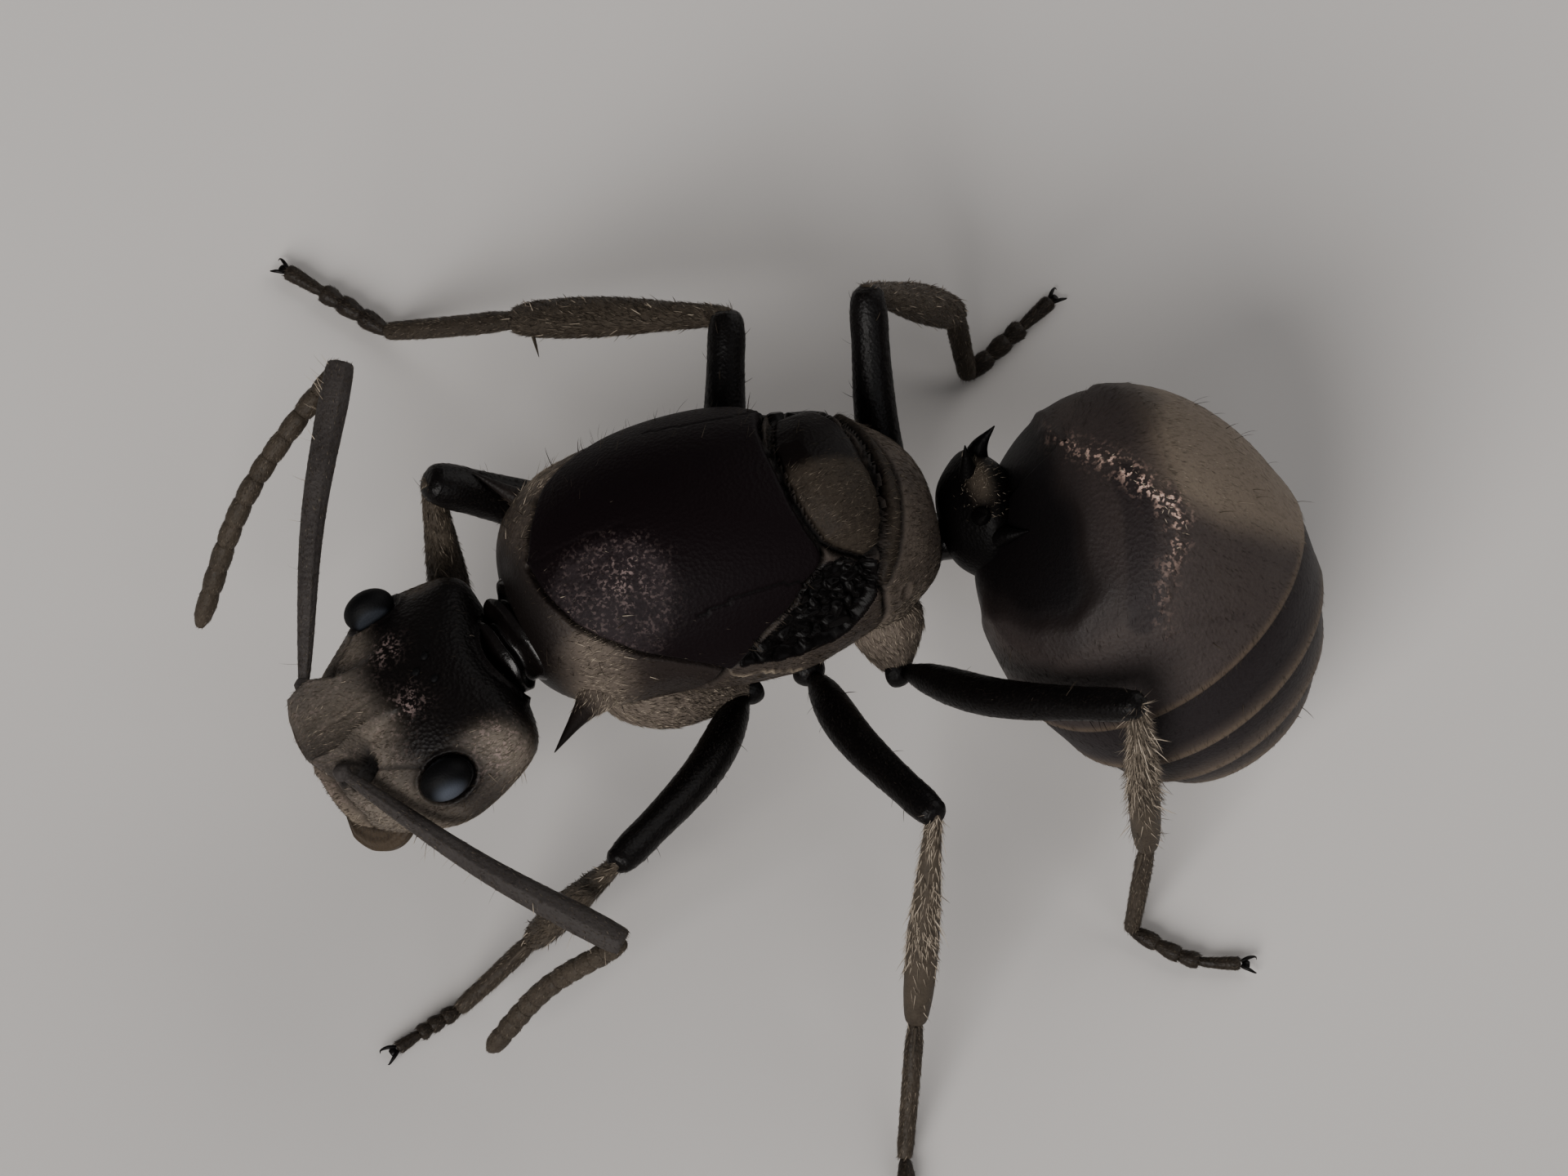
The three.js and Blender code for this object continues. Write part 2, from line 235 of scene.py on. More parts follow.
def curve(points, count):
    """A smooth line through a few points, as count points equally far apart."""
    points = np.array(points, float)
    ends = np.vstack([2 * points[0] - points[1], points, 2 * points[-1] - points[-2]])
    fine = []
    for p0, p1, p2, p3 in zip(ends, ends[1:], ends[2:], ends[3:]):
        t = np.linspace(0, 1, 24, endpoint=False)[:, None]
        fine.append(0.5 * (2 * p1 + (p2 - p0) * t + (2 * p0 - 5 * p1 + 4 * p2 - p3) * t ** 2
                           + (3 * p1 - p0 - 3 * p2 + p3) * t ** 3))
    fine = np.vstack(fine + [points[-1:]])
    steps = np.linalg.norm(np.diff(fine, axis=0), axis=1)
    along = np.concatenate([[0], np.cumsum(steps)])
    places = np.linspace(0, along[-1], count)
    return np.stack([np.interp(places, along, fine[:, k]) for k in range(3)], axis=1)


class Skin:
    """A grid of points: rows from one end to the other, each of them a closed ring of columns.
    The first and the last row may be a single point. Marks are values that its points carry."""

    def __init__(self, points, closed_ends=True):
        self.points = points
        self.closed_ends = closed_ends
        self.marks = {}
        self.shape()

    def shape(self):
        """Works out the normals and the direction towards the far end."""
        p = self.points
        around = np.roll(p, -1, axis=1) - np.roll(p, 1, axis=1)
        along = np.gradient(p, axis=0)
        normals = np.cross(along, around)
        if self.closed_ends:
            normals[0] = normals[1].mean(0)
            normals[-1] = normals[-2].mean(0)
            along[0], along[-1] = along[1], along[-2]
        outward = p - p.mean(axis=(0, 1))
        self.flip = (unit(normals) * outward).sum() < 0
        self.normals = unit(-normals if self.flip else normals)
        self.flow = unit(along - (along * self.normals).sum(-1, keepdims=True) * self.normals)

    def push(self, heights):
        """Moves the points along their normals."""
        self.points = self.points + self.normals * heights[..., None]
        self.shape()

    def cells(self):
        """Corner numbers of the grid's cells, facing out."""
        rows, columns = self.points.shape[:2]
        number = np.arange(rows * columns).reshape(rows, columns)
        if self.closed_ends:
            number[0] = number[0, 0]
            number[-1] = number[-1, 0]
        after = np.roll(number, -1, axis=1)
        quads = np.stack([number[:-1], number[1:], after[1:], after[:-1]], axis=-1)
        return quads if self.flip else quads[..., ::-1]

    def piece(self, name, material, keep=None, rim=0.05):
        """A mesh object of the kept cells, whose open edges turn in by the rim."""
        quads = self.cells()
        if keep is not None:
            quads = quads[keep]
        quads = quads.reshape(-1, 4)
        used, quads = np.unique(quads, return_inverse=True)
        quads = quads.reshape(-1, 4)
        points = self.points.reshape(-1, 3)[used]
        normals = self.normals.reshape(-1, 3)[used]
        marks = {key: value.reshape(-1)[used] for key, value in self.marks.items()}
        edges = np.concatenate([np.stack([quads[:, k], quads[:, (k + 1) % 4]], 1) for k in range(4)])
        edges = edges[edges[:, 0] != edges[:, 1]]
        code = edges.min(1) * len(points) + edges.max(1)
        _, first, counts = np.unique(code, return_index=True, return_counts=True)
        border = edges[first[counts == 1]]
        if len(border) and rim > 0:
            turned, inverse = np.unique(border, return_inverse=True)
            inverse = inverse.reshape(-1, 2) + len(points)
            points = np.vstack([points, points[turned] - normals[turned] * rim])
            marks = {key: np.concatenate([value, value[turned]]) for key, value in marks.items()}
            lip = np.stack([border[:, 1], border[:, 0], inverse[:, 0], inverse[:, 1]], 1)
            quads = np.vstack([quads, lip])
        return solid_mesh(name, points, quads, material, marks)


def solid_mesh(name, points, quads, material, marks=None, uv=None):
    """A smooth mesh object from points in millimetres and cells of four corners or three."""
    double = [quads[:, k] == quads[:, (k + 1) % 4] for k in range(4)]
    flat = np.any(double, axis=0)
    whole = quads[~flat]
    pinched = quads[flat]
    skip = np.argmax(np.stack([d[flat] for d in double], 1), axis=1)
    rest = np.array([[k for k in range(4) if k != s] for s in range(4)])[skip]
    threes = np.take_along_axis(pinched, rest, axis=1) if len(pinched) else np.zeros((0, 3), int)
    corner = np.concatenate([whole.reshape(-1), threes.reshape(-1)])
    sizes = np.concatenate([np.full(len(whole), 4), np.full(len(threes), 3)])
    mesh = bpy.data.meshes.new(name)
    mesh.vertices.add(len(points))
    mesh.vertices.foreach_set("co", (points * MM).astype(np.float32).ravel())
    mesh.loops.add(len(corner))
    mesh.loops.foreach_set("vertex_index", corner.astype(np.int32))
    mesh.polygons.add(len(sizes))
    starts = np.concatenate([[0], np.cumsum(sizes)[:-1]])
    mesh.polygons.foreach_set("loop_start", starts.astype(np.int32))
    mesh.update(calc_edges=True)
    mesh.shade_smooth()
    for key, value in (marks or {}).items():
        mark = mesh.attributes.new(key, "FLOAT", "POINT")
        mark.data.foreach_set("value", value.astype(np.float32))
    if uv is not None:
        layer = mesh.uv_layers.new(name="OFBake")
        layer.uv.foreach_set("vector", uv[corner].astype(np.float32).ravel())
    mesh.materials.append(material)
    thing = linked(name, mesh)
    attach(thing, "root")
    return thing


def blob(front, rear, rows, columns, top_share, sizes, power=lambda t: (0.6, 0.6)):
    """A rounded body along X. sizes(t) gives its half width, rise, drop and middle height, power(t)
    how blunt its ends are in width and in height, and top_share of the columns lie on top."""
    phi = np.linspace(0, math.pi, rows + 1)
    t = (1 - np.cos(phi)) / 2
    side, up, down, middle = (np.broadcast_to(value, t.shape) for value in sizes(t))
    wide, tall = (np.maximum(np.sin(phi), 0) ** value for value in power(t))
    wide[[0, -1]] = tall[[0, -1]] = 0
    over = round(columns * top_share)
    theta = np.concatenate([
        np.linspace(0, math.pi, over, endpoint=False),
        np.linspace(math.pi, 2 * math.pi, columns - over, endpoint=False),
    ])
    rise = np.where(np.sin(theta)[None] > 0, up[:, None], down[:, None])
    x = np.repeat((front + (rear - front) * t)[:, None], columns, axis=1)
    y = (side * wide)[:, None] * np.cos(theta)
    z = middle[:, None] + tall[:, None] * rise * np.sin(theta)
    return np.stack([x, y, z], axis=-1)


def seam_distance(skin, loop, centre, closed=True):
    """How far each point of a skin is from a line on it, and more than 0 inside a closed line,
    which is seen from the centre looking up."""
    flat = skin.points.reshape(-1, 3)
    surface = KDTree(len(flat[::2]))
    for k, p in enumerate(flat[::2]):
        surface.insert(p, k)
    surface.balance()
    loop = curve([*loop, loop[0]] if closed else loop, 260)
    loop = np.array([surface.find(p)[0] for p in loop])
    loop = curve(loop[::4], 900)
    tree = KDTree(len(loop))
    for k, p in enumerate(loop):
        tree.insert(p, k)
    tree.balance()
    far = np.array([tree.find(p)[2] for p in flat])
    if not closed:
        return far.reshape(skin.points.shape[:2])

    def mapped(points):
        """The points as seen from the centre, laid out flat with the highest one in the middle."""
        away = unit(points - centre) * [-1, -1, 1]
        return away[:, :2] / (1.0001 + away[:, 2:])

    here, edge = mapped(flat), mapped(loop[::3])
    inside = np.zeros(len(here), bool)
    for (ax, ay), (bx, by) in zip(edge, np.roll(edge, -1, axis=0)):
        crosses = (ay > here[:, 1]) != (by > here[:, 1])
        at = ax + (here[:, 1] - ay) * (bx - ax) / (by - ay if by != ay else 1e-9)
        inside ^= crosses & (here[:, 0] < at)
    return np.where(inside, far, -far).reshape(skin.points.shape[:2])


pronotum_low, _ = box_of("pronotum")
_, propodeum_high = box_of("propodeum")
scutellum_low, scutellum_high = box_of("scutellum")
front, rear = pronotum_low[0], propodeum_high[0]
FRONT_TO_MIDDLE = 2.02
THORAX = np.array([front + FRONT_TO_MIDDLE, (scutellum_low[1] + scutellum_high[1]) / 2, 0.0])
THORAX_HALF_WIDTH = 1.31
THORAX_RISE = 1.18
THORAX_DROP = 1.17
THORAX_MIDDLE_HEIGHT = 2.72

thorax = Skin(blob(
    front - THORAX[0], rear - THORAX[0], 330, 330, 0.66,
    lambda t: (
        THORAX_HALF_WIDTH * (1 - 0.21 * t ** 2),
        THORAX_RISE + 0.05 * hump(t, 0.77, 0.07) - 0.1 * hump(t, 0.88, 0.06),
        THORAX_DROP,
        THORAX_MIDDLE_HEIGHT - 0.15 * (1 - t) ** 3 - 0.55 * t ** 5,
    ),
    lambda t: (0.58, 0.58),
))
tx, ty, tz = (thorax.points[..., k] for k in range(3))
INSIDE = np.array([0.0, 0.0, 2.3])

SCUTUM_EDGE = [
    (-1.77, 0.0, 3.35), (-1.74, -0.14, 3.37), (-1.66, -0.38, 3.38), (-1.5, -0.63, 3.34),
    (-1.15, -0.91, 3.27), (-0.74, -1.1, 3.16), (-0.42, -1.19, 2.98), (-0.28, -1.21, 2.87),
    (-0.2, -1.2, 2.95), (0.02, -1.1, 3.19), (0.25, -1.0, 3.31), (0.42, -0.9, 3.4), (0.55, -0.81, 3.47),
    (0.68, -0.73, 3.52), (0.68, -0.6, 3.6), (0.6, -0.4, 3.7), (0.52, -0.1, 3.78), (0.47, 0.39, 3.74),
    (0.5, 0.7, 3.52), (0.6, 0.92, 3.1), (0.4, 1.02, 3.15), (0.1, 1.12, 3.1), (-0.2, 1.2, 2.95),
    (-0.28, 1.21, 2.87), (-0.42, 1.19, 2.98), (-0.74, 1.1, 3.16), (-1.15, 0.93, 3.27),
    (-1.45, 0.72, 3.32), (-1.65, 0.4, 3.39), (-1.74, 0.15, 3.37),
]
SCUTELLUM_EDGE = [
    (0.55, 0.39, 3.74), (0.6, -0.08, 3.79), (0.68, -0.4, 3.7), (0.8, -0.6, 3.58), (0.94, -0.68, 3.46),
    (1.09, -0.69, 3.34), (1.2, -0.64, 3.28), (1.29, -0.53, 3.26), (1.36, -0.36, 3.29), (1.39, -0.08, 3.33),
    (1.36, 0.18, 3.36), (1.3, 0.43, 3.3), (1.2, 0.6, 3.25), (1.0, 0.75, 3.2), (0.8, 0.8, 3.3),
    (0.64, 0.7, 3.5),
]
METANOTUM_EDGE = [
    (1.43, -0.08, 3.3), (1.4, -0.38, 3.25), (1.32, -0.58, 3.2), (1.22, -0.74, 3.12), (1.16, -0.84, 3.04),
    (1.24, -0.9, 2.95), (1.38, -0.76, 3.03), (1.5, -0.5, 3.12), (1.57, -0.1, 3.18), (1.54, 0.3, 3.15),
    (1.43, 0.6, 3.05), (1.28, 0.82, 2.95), (1.2, 0.78, 3.05), (1.33, 0.58, 3.15), (1.4, 0.3, 3.25),
]
WING_BASE = [
    (0.52, -0.85, 3.44), (0.7, -0.76, 3.5), (0.86, -0.72, 3.48), (1.04, -0.73, 3.34), (1.18, -0.7, 3.22),
    (1.14, -0.86, 3.0), (0.98, -1.0, 2.82), (0.76, -1.09, 2.68), (0.5, -1.16, 2.68), (0.2, -1.2, 2.74),
    (-0.05, -1.21, 2.84), (-0.22, -1.22, 2.87), (0.02, -1.13, 3.13), (0.3, -1.0, 3.28),
]
MIRROR = np.array([1, -1, 1])

scutum_in = seam_distance(thorax, SCUTUM_EDGE, INSIDE)
scutellum_in = seam_distance(thorax, SCUTELLUM_EDGE, INSIDE)
metanotum_in = seam_distance(thorax, METANOTUM_EDGE, INSIDE)
wing_left_in = seam_distance(thorax, WING_BASE, INSIDE)
wing_right_in = seam_distance(thorax, np.array(WING_BASE) * MIRROR, INSIDE)
wing_in = np.maximum(wing_left_in, wing_right_in)
pronotum_in = (-0.27 + 0.42 * (tz - 3.0) - tx) / 1.08
propodeum_in = (tx - 1.33 + 0.42 * (3.0 - tz) - 0.12 * np.sin(3.5 * tz)) / 1.08
mesopleuron_line = tz - 2.3 + 0.12 * (tx - 0.3)
wing_scar = np.minimum.reduce([
    seam_distance(thorax, np.array(line) * sides, INSIDE, closed=False)
    for sides in (np.ones(3), MIRROR)
    for line in [[(-0.3, -1.21, 2.93), (-0.29, -1.23, 2.8), (-0.2, -1.24, 2.7), (-0.02, -1.24, 2.67),
                  (0.18, -1.19, 2.5), (0.36, -1.15, 2.38)]]
])
parapsidal = np.minimum.reduce([
    seam_distance(thorax, np.array([(-0.5, -0.88, 3.49), (-0.04, -0.83, 3.56), (0.26, -0.81, 3.53),
                                    (0.5, -0.82, 3.46)]) * sides, INSIDE, closed=False)
    for sides in (np.ones(3), MIRROR)
])
middle_line = seam_distance(thorax, [(-1.7, 0, 3.4), (-1.3, 0, 3.65), (-0.9, 0, 3.8)], INSIDE, closed=False)

# the torn wing bases: a hollow full of small hard lumps, each tilted its own way
wing_rng = np.random.default_rng(11)
LUMPS = 150
torn = wing_in > -0.03
lump_places = thorax.points[torn][wing_rng.choice(torn.sum(), LUMPS, replace=False)]
lump_tilts = wing_rng.normal(0, 0.14, (LUMPS, 3))
gaps = thorax.points[torn][:, None] - lump_places
spread = np.linalg.norm(gaps * [0.8, 1, 1.3], axis=-1)
nearest = np.argsort(spread, axis=-1)[:, :2]
first, second = np.take_along_axis(spread, nearest, -1).T
tilt = (gaps[np.arange(len(gaps)), nearest[:, 0]] * lump_tilts[nearest[:, 0]]).sum(-1)
lumps = np.zeros_like(wing_in)
lump_rise = wing_rng.uniform(0, 0.05, LUMPS)[nearest[:, 0]]
lumps[torn] = smooth(second - first, 0.0, 0.05) * (0.03 + lump_rise + tilt)

off_back = (scutum_in < 0) & (scutellum_in < 0) & (metanotum_in < 0)
on_side = (pronotum_in < 0) & (propodeum_in < 0) & off_back & (wing_in < 0)
heights = 0.03 * smooth(scutum_in, -0.005, 0.05) - 0.03
heights -= 0.075 * hump(scutum_in, -0.016, 0.02)
heights += 0.09 * smooth(scutellum_in, 0.0, 0.25) - 0.03 * smooth(scutellum_in, -0.02, 0.0)
heights -= 0.11 * hump(scutellum_in, -0.025, 0.035)
heights += 0.03 * smooth(metanotum_in, 0.0, 0.06) - 0.04 * hump(metanotum_in, -0.01, 0.03)
for seam in (pronotum_in, propodeum_in):
    heights -= 0.05 * hump(seam, 0, 0.03) * off_back
heights -= 0.04 * hump(mesopleuron_line, 0, 0.03) * on_side
heights += (lumps - 0.12) * smooth(wing_in, 0.0, 0.07)
heights -= 0.018 * hump(parapsidal, 0, 0.012) * (0.4 + 0.6 * (ty < 0))
heights -= 0.006 * hump(middle_line, 0, 0.018)
heights += 0.02 * hump(wing_scar, 0, 0.016) * (1 - 0.4 * (scutum_in > 0))
# shoulders, bulges over the middle and hind coxae, and the breathing holes of the propodeum
for side in (-1, 1):
    heights += 0.05 * hump(tx, -1.35, 0.3) * hump(ty, 1.0 * side, 0.3) * hump(tz, 2.6, 0.28)
    heights -= 0.08 * hump(tx, -0.75, 0.4) * hump(ty, 1.25 * side, 0.35) * hump(tz, 2.45, 0.5)
    heights += 0.07 * hump(tx, 0.45, 0.5) * hump(ty, 1.15 * side, 0.4) * hump(tz, 2.15, 0.4)
    heights += 0.07 * hump(tx, 1.35, 0.22) * hump(ty, 0.85 * side, 0.3) * hump(tz, 1.95, 0.2)
    spiracle = np.hypot((tx - 1.42) / 0.55, (tz - 2.62) / 1.0) + 9 * (ty * side <= 0.3)
    heights += 0.012 * hump(spiracle, 0.13, 0.04) - 0.03 * hump(spiracle, 0, 0.08)
thorax.push(heights)
thorax.points = thorax.points + THORAX
thorax.shape()

wave = 0.5 + 0.5 * np.sin(3 * tx + 2.1 * ty) * np.sin(2.3 * ty - 1.7 * tz)
shoulder = hump(tx, -1.42, 0.34) * smooth(np.abs(ty), 0.45, 0.8)
collar_zone = smooth(-tx, 1.4, 1.65) * smooth(0.95 - np.hypot(ty + 0.2, 0.8 * (tz - 2.4)), 0.0, 0.35)
shoulder = np.maximum(shoulder, 0.5 * smooth(-tx, 1.35, 1.6) * smooth(tz, 2.7, 2.9) * (1 - collar_zone))
# painted light: the down on the scutum is raised on its near front corner, where the key lamp falls, and
# along its near edge
painted_lit_haze = smooth(1.3 - np.hypot((tx + 1.2) / 0.6, (ty + 0.55) / 0.5), 0.0, 0.55)
painted_lit_granules = painted_lit_haze + 0.4 * smooth(-ty, 0.75, 1.0) * smooth(-tx, -0.3, 0.6)
# painted light and shade: the scutellum has down only on its near half, which the key lamp lights; its far
# half is left bare black
down_here = np.select(
    [scutum_in > 0, scutellum_in > 0, wing_in > 0, metanotum_in > 0, pronotum_in > 0, propodeum_in > 0],
    [0.04 + 0.39 * painted_lit_granules, 0.03 + 0.62 * smooth(-ty, -0.25, -0.05), 0.03, 0.55, 0.12 + 0.8 * shoulder,
     0.65 + 0.3 * smooth(-tz, -2.6, -2.3)],
    0.45 + 0.5 * smooth(-tz, -2.5, -2.2) * smooth(tx, 0.6, 1.1),
)
thorax.marks["down"] = down_here * (0.8 + 0.2 * wave)
polish = smooth(wing_in, 0.0, 0.04) + 0.5 * collar_zone
thorax.marks["gloss"] = np.clip(polish, 0, 1)
thorax.marks["dark"] = np.clip(np.maximum.reduce([
    hump(scutum_in, -0.016, 0.022), hump(scutellum_in, -0.03, 0.04), hump(metanotum_in, -0.01, 0.03),
    hump(pronotum_in, 0, 0.025) * off_back, hump(propodeum_in, 0, 0.025) * off_back,
    0.9 * smooth(wing_in, -0.01, 0.02), hump(parapsidal, 0, 0.013), 0.8 * collar_zone,
]), 0, 1)
# painted highlight: rosy flecks, faint over the lit front corner of the scutum and strongest in one small
# spot there
thorax.marks["glint"] = (scutum_in > 0.03) * 0.12 * painted_lit_haze + 0.35 * hump(tx, -1.02, 0.22) * hump(ty, -0.4, 0.2)
thorax.marks["pale"] = 0.6 * hump(wing_scar, 0, 0.013) * (wing_scar < 0.08) * (0.6 + 0.4 * np.sin(25 * tx))


NEARLY_BLACK = linear("060505")
CREAM = linear("9c8f7c")
ROSY_GLINT = linear("9a8682")


def cuticle(name, bare, downy, grain, roughness, depth=0.006, level=0.12):
    """Shell of fine grains, from bare black to down-covered by the skin's own marks."""
    shader = Shader(name, Specular_IOR_Level=level)
    place = shader.place()
    down = shader.marked("down")
    gloss = shader.marked("gloss")
    patches = shader.noise(place, 0.35, 4.0)
    specks = shader.noise(place, 0.03, 2.0)
    grains = shader.cells(place, grain)
    fibres = shader.noise(place, 0.02, 4.0, 0.7)
    share = (down * (0.55 + 0.9 * patches) - 0.2 + 0.3 * specks).between(0.1, 0.9)
    shade = shader.mix(share, bare, downy)
    shade = shader.mix((patches * specks).between(0.25, 0.6) * 0.35, shade, tuple(0.45 * c for c in bare))
    # dark blackens seams and black parts; on the head and the waist scale it also paints shade
    dark = shader.marked("dark")
    shade = shader.mix(dark * 0.92, shade, NEARLY_BLACK)
    # pale gives cream: the own colour of the wing scars, the clypeus and the face streaks, and painted light
    # on the head's near rear corner and the right fore coxa
    shade = shader.mix(shader.marked("pale") * (1 - dark), shade, CREAM)
    # glint paints rosy highlight flecks
    sparks = shader.marked("glint") * (1 - dark) * shader.flecks(place, 0.032)
    shade = shader.mix(sparks, shade, ROSY_GLINT)
    rough = roughness + 0.2 * share - (roughness - 0.32) * gloss + 0.2 * (specks - 0.5)
    relief = (1 - gloss) * (grains * 0.7 + fibres * (0.3 + 0.7 * share))
    shader.set(Base_Color=shade, Roughness=rough, Normal=shader.bump(relief, depth))
    return shader.material


BARE_BLACK = linear("0c0808")
DOWN_OLIVE = linear("403931")
black_shell = cuticle("black_shell", BARE_BLACK, DOWN_OLIVE, 0.034, 0.42, level=0.06)
scutum_shell = cuticle("scutum_shell", linear("0d0709"), linear("453d3f"), 0.035, 0.5, 0.005, 0.06)
downy_shell = cuticle("downy_shell", linear("211b19"), linear("5b524a"), 0.03, 0.5)

cell = (slice(None, -1), slice(None))
labels = np.select(
    [scutum_in > 0, scutellum_in > 0, wing_left_in > 0, wing_right_in > 0, metanotum_in > 0,
     pronotum_in > 0, propodeum_in > 0, (mesopleuron_line > 0) & (ty < 0), (mesopleuron_line > 0),
     ty < 0],
    [0, 1, 2, 3, 4, 5, 6, 7, 8, 9], 10,
)[cell]
PLATES = [
    # name, number above, material, slot, node that it stands for
    ("scutum", 0, scutum_shell, "black_cuticle", "mesoscutum"),
    ("scutellar_plate", 1, black_shell, "black_cuticle", "scutellum"),
    ("wing_base_left", 2, black_shell, "black_cuticle", None),
    ("wing_base_right", 3, black_shell, "black_cuticle", None),
    ("metanotal_plate", 4, black_shell, "black_cuticle", "metanotum"),
    ("pronotal_plate", 5, downy_shell, "downy_cuticle", "pronotum"),
    ("propodeal_plate", 6, downy_shell, "downy_cuticle", "propodeum"),
    ("upper_pleuron_left", 7, downy_shell, "downy_cuticle", "pleuron_left"),
    ("upper_pleuron_right", 8, downy_shell, "downy_cuticle", "pleuron_right"),
    ("lower_pleuron_left", 9, downy_shell, "downy_cuticle", None),
    ("lower_pleuron_right", 10, downy_shell, "downy_cuticle", None),
]
for name, number, material, slot, node in PLATES:
    plate = thorax.piece(name, material, keep=labels == number, rim=0.06)
    if node:
        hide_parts(node)

# ---------------------------------------------------------------- head
# The head is one hard capsule. Two sharp frontal ridges overhang the sockets of the feelers, the
# clypeus closes it in front, and three small ocelli lie on the crown, as in a queen.


def turned(yaw, pitch, roll):
    """The turn of a roll, a pitch and a yaw, in that order, as a matrix."""
    y, p, r = (math.radians(angle) for angle in (yaw, pitch, roll))
    about_z = np.array([[math.cos(y), -math.sin(y), 0], [math.sin(y), math.cos(y), 0], [0, 0, 1]])
    about_y = np.array([[math.cos(p), 0, math.sin(p)], [0, 1, 0], [-math.sin(p), 0, math.cos(p)]])
    about_x = np.array([[1, 0, 0], [0, math.cos(r), -math.sin(r)], [0, math.sin(r), math.cos(r)]])
    return about_z @ about_y @ about_x


HEAD_TURN = turned(11.5, -27, -10)
HEAD_HALF_WIDTH = 1.11
EYE_AT = np.array([-0.03, 0.93, 0.41])
EYE_HALF = np.array([0.255, 0.175, 0.22])
EYES = {"left": -1, "right": 1}
eye_middles = [sum(box_of(f"eye_{side}")) / 2 for side in EYES]
HEAD = sum(eye_middles) / 2 - HEAD_TURN @ (EYE_AT * [1, 0, 1])


def on_head(points):
    """Points of the head's own frame, placed in the model."""
    return np.asarray(points) @ HEAD_TURN.T + HEAD


head = Skin(blob(
    -1.14, 0.76, 300, 320, 0.64,
    lambda t: (
        HEAD_HALF_WIDTH * (0.78 + 0.22 * np.sin(np.pi * np.minimum(0.5, 0.9 * t))),
        0.52 + 0.14 * hump(t, 0.6, 0.3),
        0.56 + 0.08 * hump(t, 0.55, 0.3),
        0.0,
    ),
    lambda t: (0.6 - 0.4 * t, 0.6),
))
hx, hy, hz = (head.points[..., k].copy() for k in range(3))
away = np.abs(hy)

# flatter cheeks, the rings of the eyes, the clypeus, and the hollow of the neck
shift = -0.04 * hump(hx, -0.6, 0.3) * hump(away, 1.0, 0.25)
orbit = np.sqrt(sum(((value - at) / half) ** 2 for value, at, half in zip((hx, away, hz), EYE_AT, EYE_HALF)))
shift -= 0.03 * smooth(1.2 - orbit, 0.0, 0.25)
shift += 0.014 * hump(orbit, 1.25, 0.1) - 0.02 * hump(orbit, 1.04, 0.07)
clypeus_in = np.minimum((-0.86 - hx - 0.62 * hz) / 1.18, 0.62 - away + 0.15 * smooth(-hz, 0.1, 0.5))
shift += 0.06 * smooth(clypeus_in, 0.0, 0.12) - 0.035 * hump(clypeus_in, 0.0, 0.03)
shift += 0.02 * hump(hy, 0, 0.035) * smooth(clypeus_in, 0.02, 0.1)
mandible_notch = np.sqrt(((hx + 0.9) / 0.2) ** 2 + ((away - 0.6) / 0.2) ** 2 + ((hz + 0.26) / 0.16) ** 2)
shift -= 0.06 * smooth(1.1 - mandible_notch, 0.0, 0.5)
shift -= 0.02 * hump(hy, 0, 0.03) * smooth(-hz, 0.3, 0.4) * smooth(hx, -0.5, -0.3)
hole = np.sqrt((hy / 0.36) ** 2 + ((hz + 0.08) / 0.3) ** 2) + 3 * (hx < 0.4)
shift -= 0.1 * smooth(1.0 - hole, 0.0, 0.2)
shift += 0.03 * hump(hole, 1.12, 0.08)
shift -= 0.05 * hump(hx, 0.76, 0.12) * hump(hy, 0, 0.35) * smooth(hz, 0.0, 0.4)
shift += 0.03 * hump(hx, 0.62, 0.16) * hump(away, 0.8, 0.2) * hump(hz, 0.2, 0.25)
head.push(shift)

# the fold from each socket back to its eye
FOLD_X = -0.62
FOLD_AWAY = 0.5
FOLD_SLOPE = 0.65

# the frontal ridges: how far they are from the middle, and how high, from front to back
hx, hy, hz = (head.points[..., k].copy() for k in range(3))
LOBES_MIDDLE = 0.07
away = np.abs(hy - LOBES_MIDDLE)
RIDGE_X = [-1.02, -0.97, -0.87, -0.79, -0.65, -0.55, -0.48, -0.35, -0.2, 0.0, 0.2]
RIDGE_Y = [0.33, 0.34, 0.355, 0.38, 0.39, 0.34, 0.3, 0.28, 0.27, 0.29, 0.32]
ridge = np.interp(hx, RIDGE_X, RIDGE_Y)
level = np.interp(hx, [-1.02, -0.9, -0.65, -0.45, -0.2, 0.1], [0.79, 0.84, 0.84, 0.77, 0.69, 0.64])
level -= 0.09 * (1 - np.minimum(away / ridge, 1) ** 2) * smooth(-hx, 0.2, 0.6)
front_edge = -1.02 - 0.05 * hump(away, 0.0, 0.2) + 0.14 * smooth(away, 0.18, 0.44)
near = smooth(-hy, -0.05, 0.05)
front_edge -= 0.07 * near * hump(away, 0.37, 0.03)
on_lobes = smooth(ridge - away, -0.12 + 0.1 * near, 0.03 - 0.016 * near)
on_lobes = on_lobes * smooth(hx - front_edge, -0.05, 0.03)
on_lobes *= smooth(-hx, -0.1, 0.25) * smooth(hz, 0.0, 0.12)
rise = np.maximum(level - hz, 0) * on_lobes
crest = hump(away - ridge, -0.016, 0.022) * smooth(hx, -1.0, -0.95) * smooth(-hx, 0.25, 0.5)
rise += 0.025 * crest * smooth(hz, 0.2, 0.3) * (0.3 + 0.7 * near)
pit = np.sqrt(((hx + 0.69) / 0.2) ** 2 + ((away - 0.47) / 0.12) ** 2)
rise -= (0.04 + 0.06 * near) * smooth(1.15 - pit, 0.0, 0.6) * (1 - on_lobes) * smooth(hz, 0.0, 0.2)
rise += 0.012 * hump(pit, 1.4, 0.15) * (1 - on_lobes) * smooth(hz, 0.1, 0.2)
rise -= 0.01 * hump(hy, 0, 0.02) * smooth(-hx, -0.1, 0.3) * smooth(hz, 0.3, 0.5)
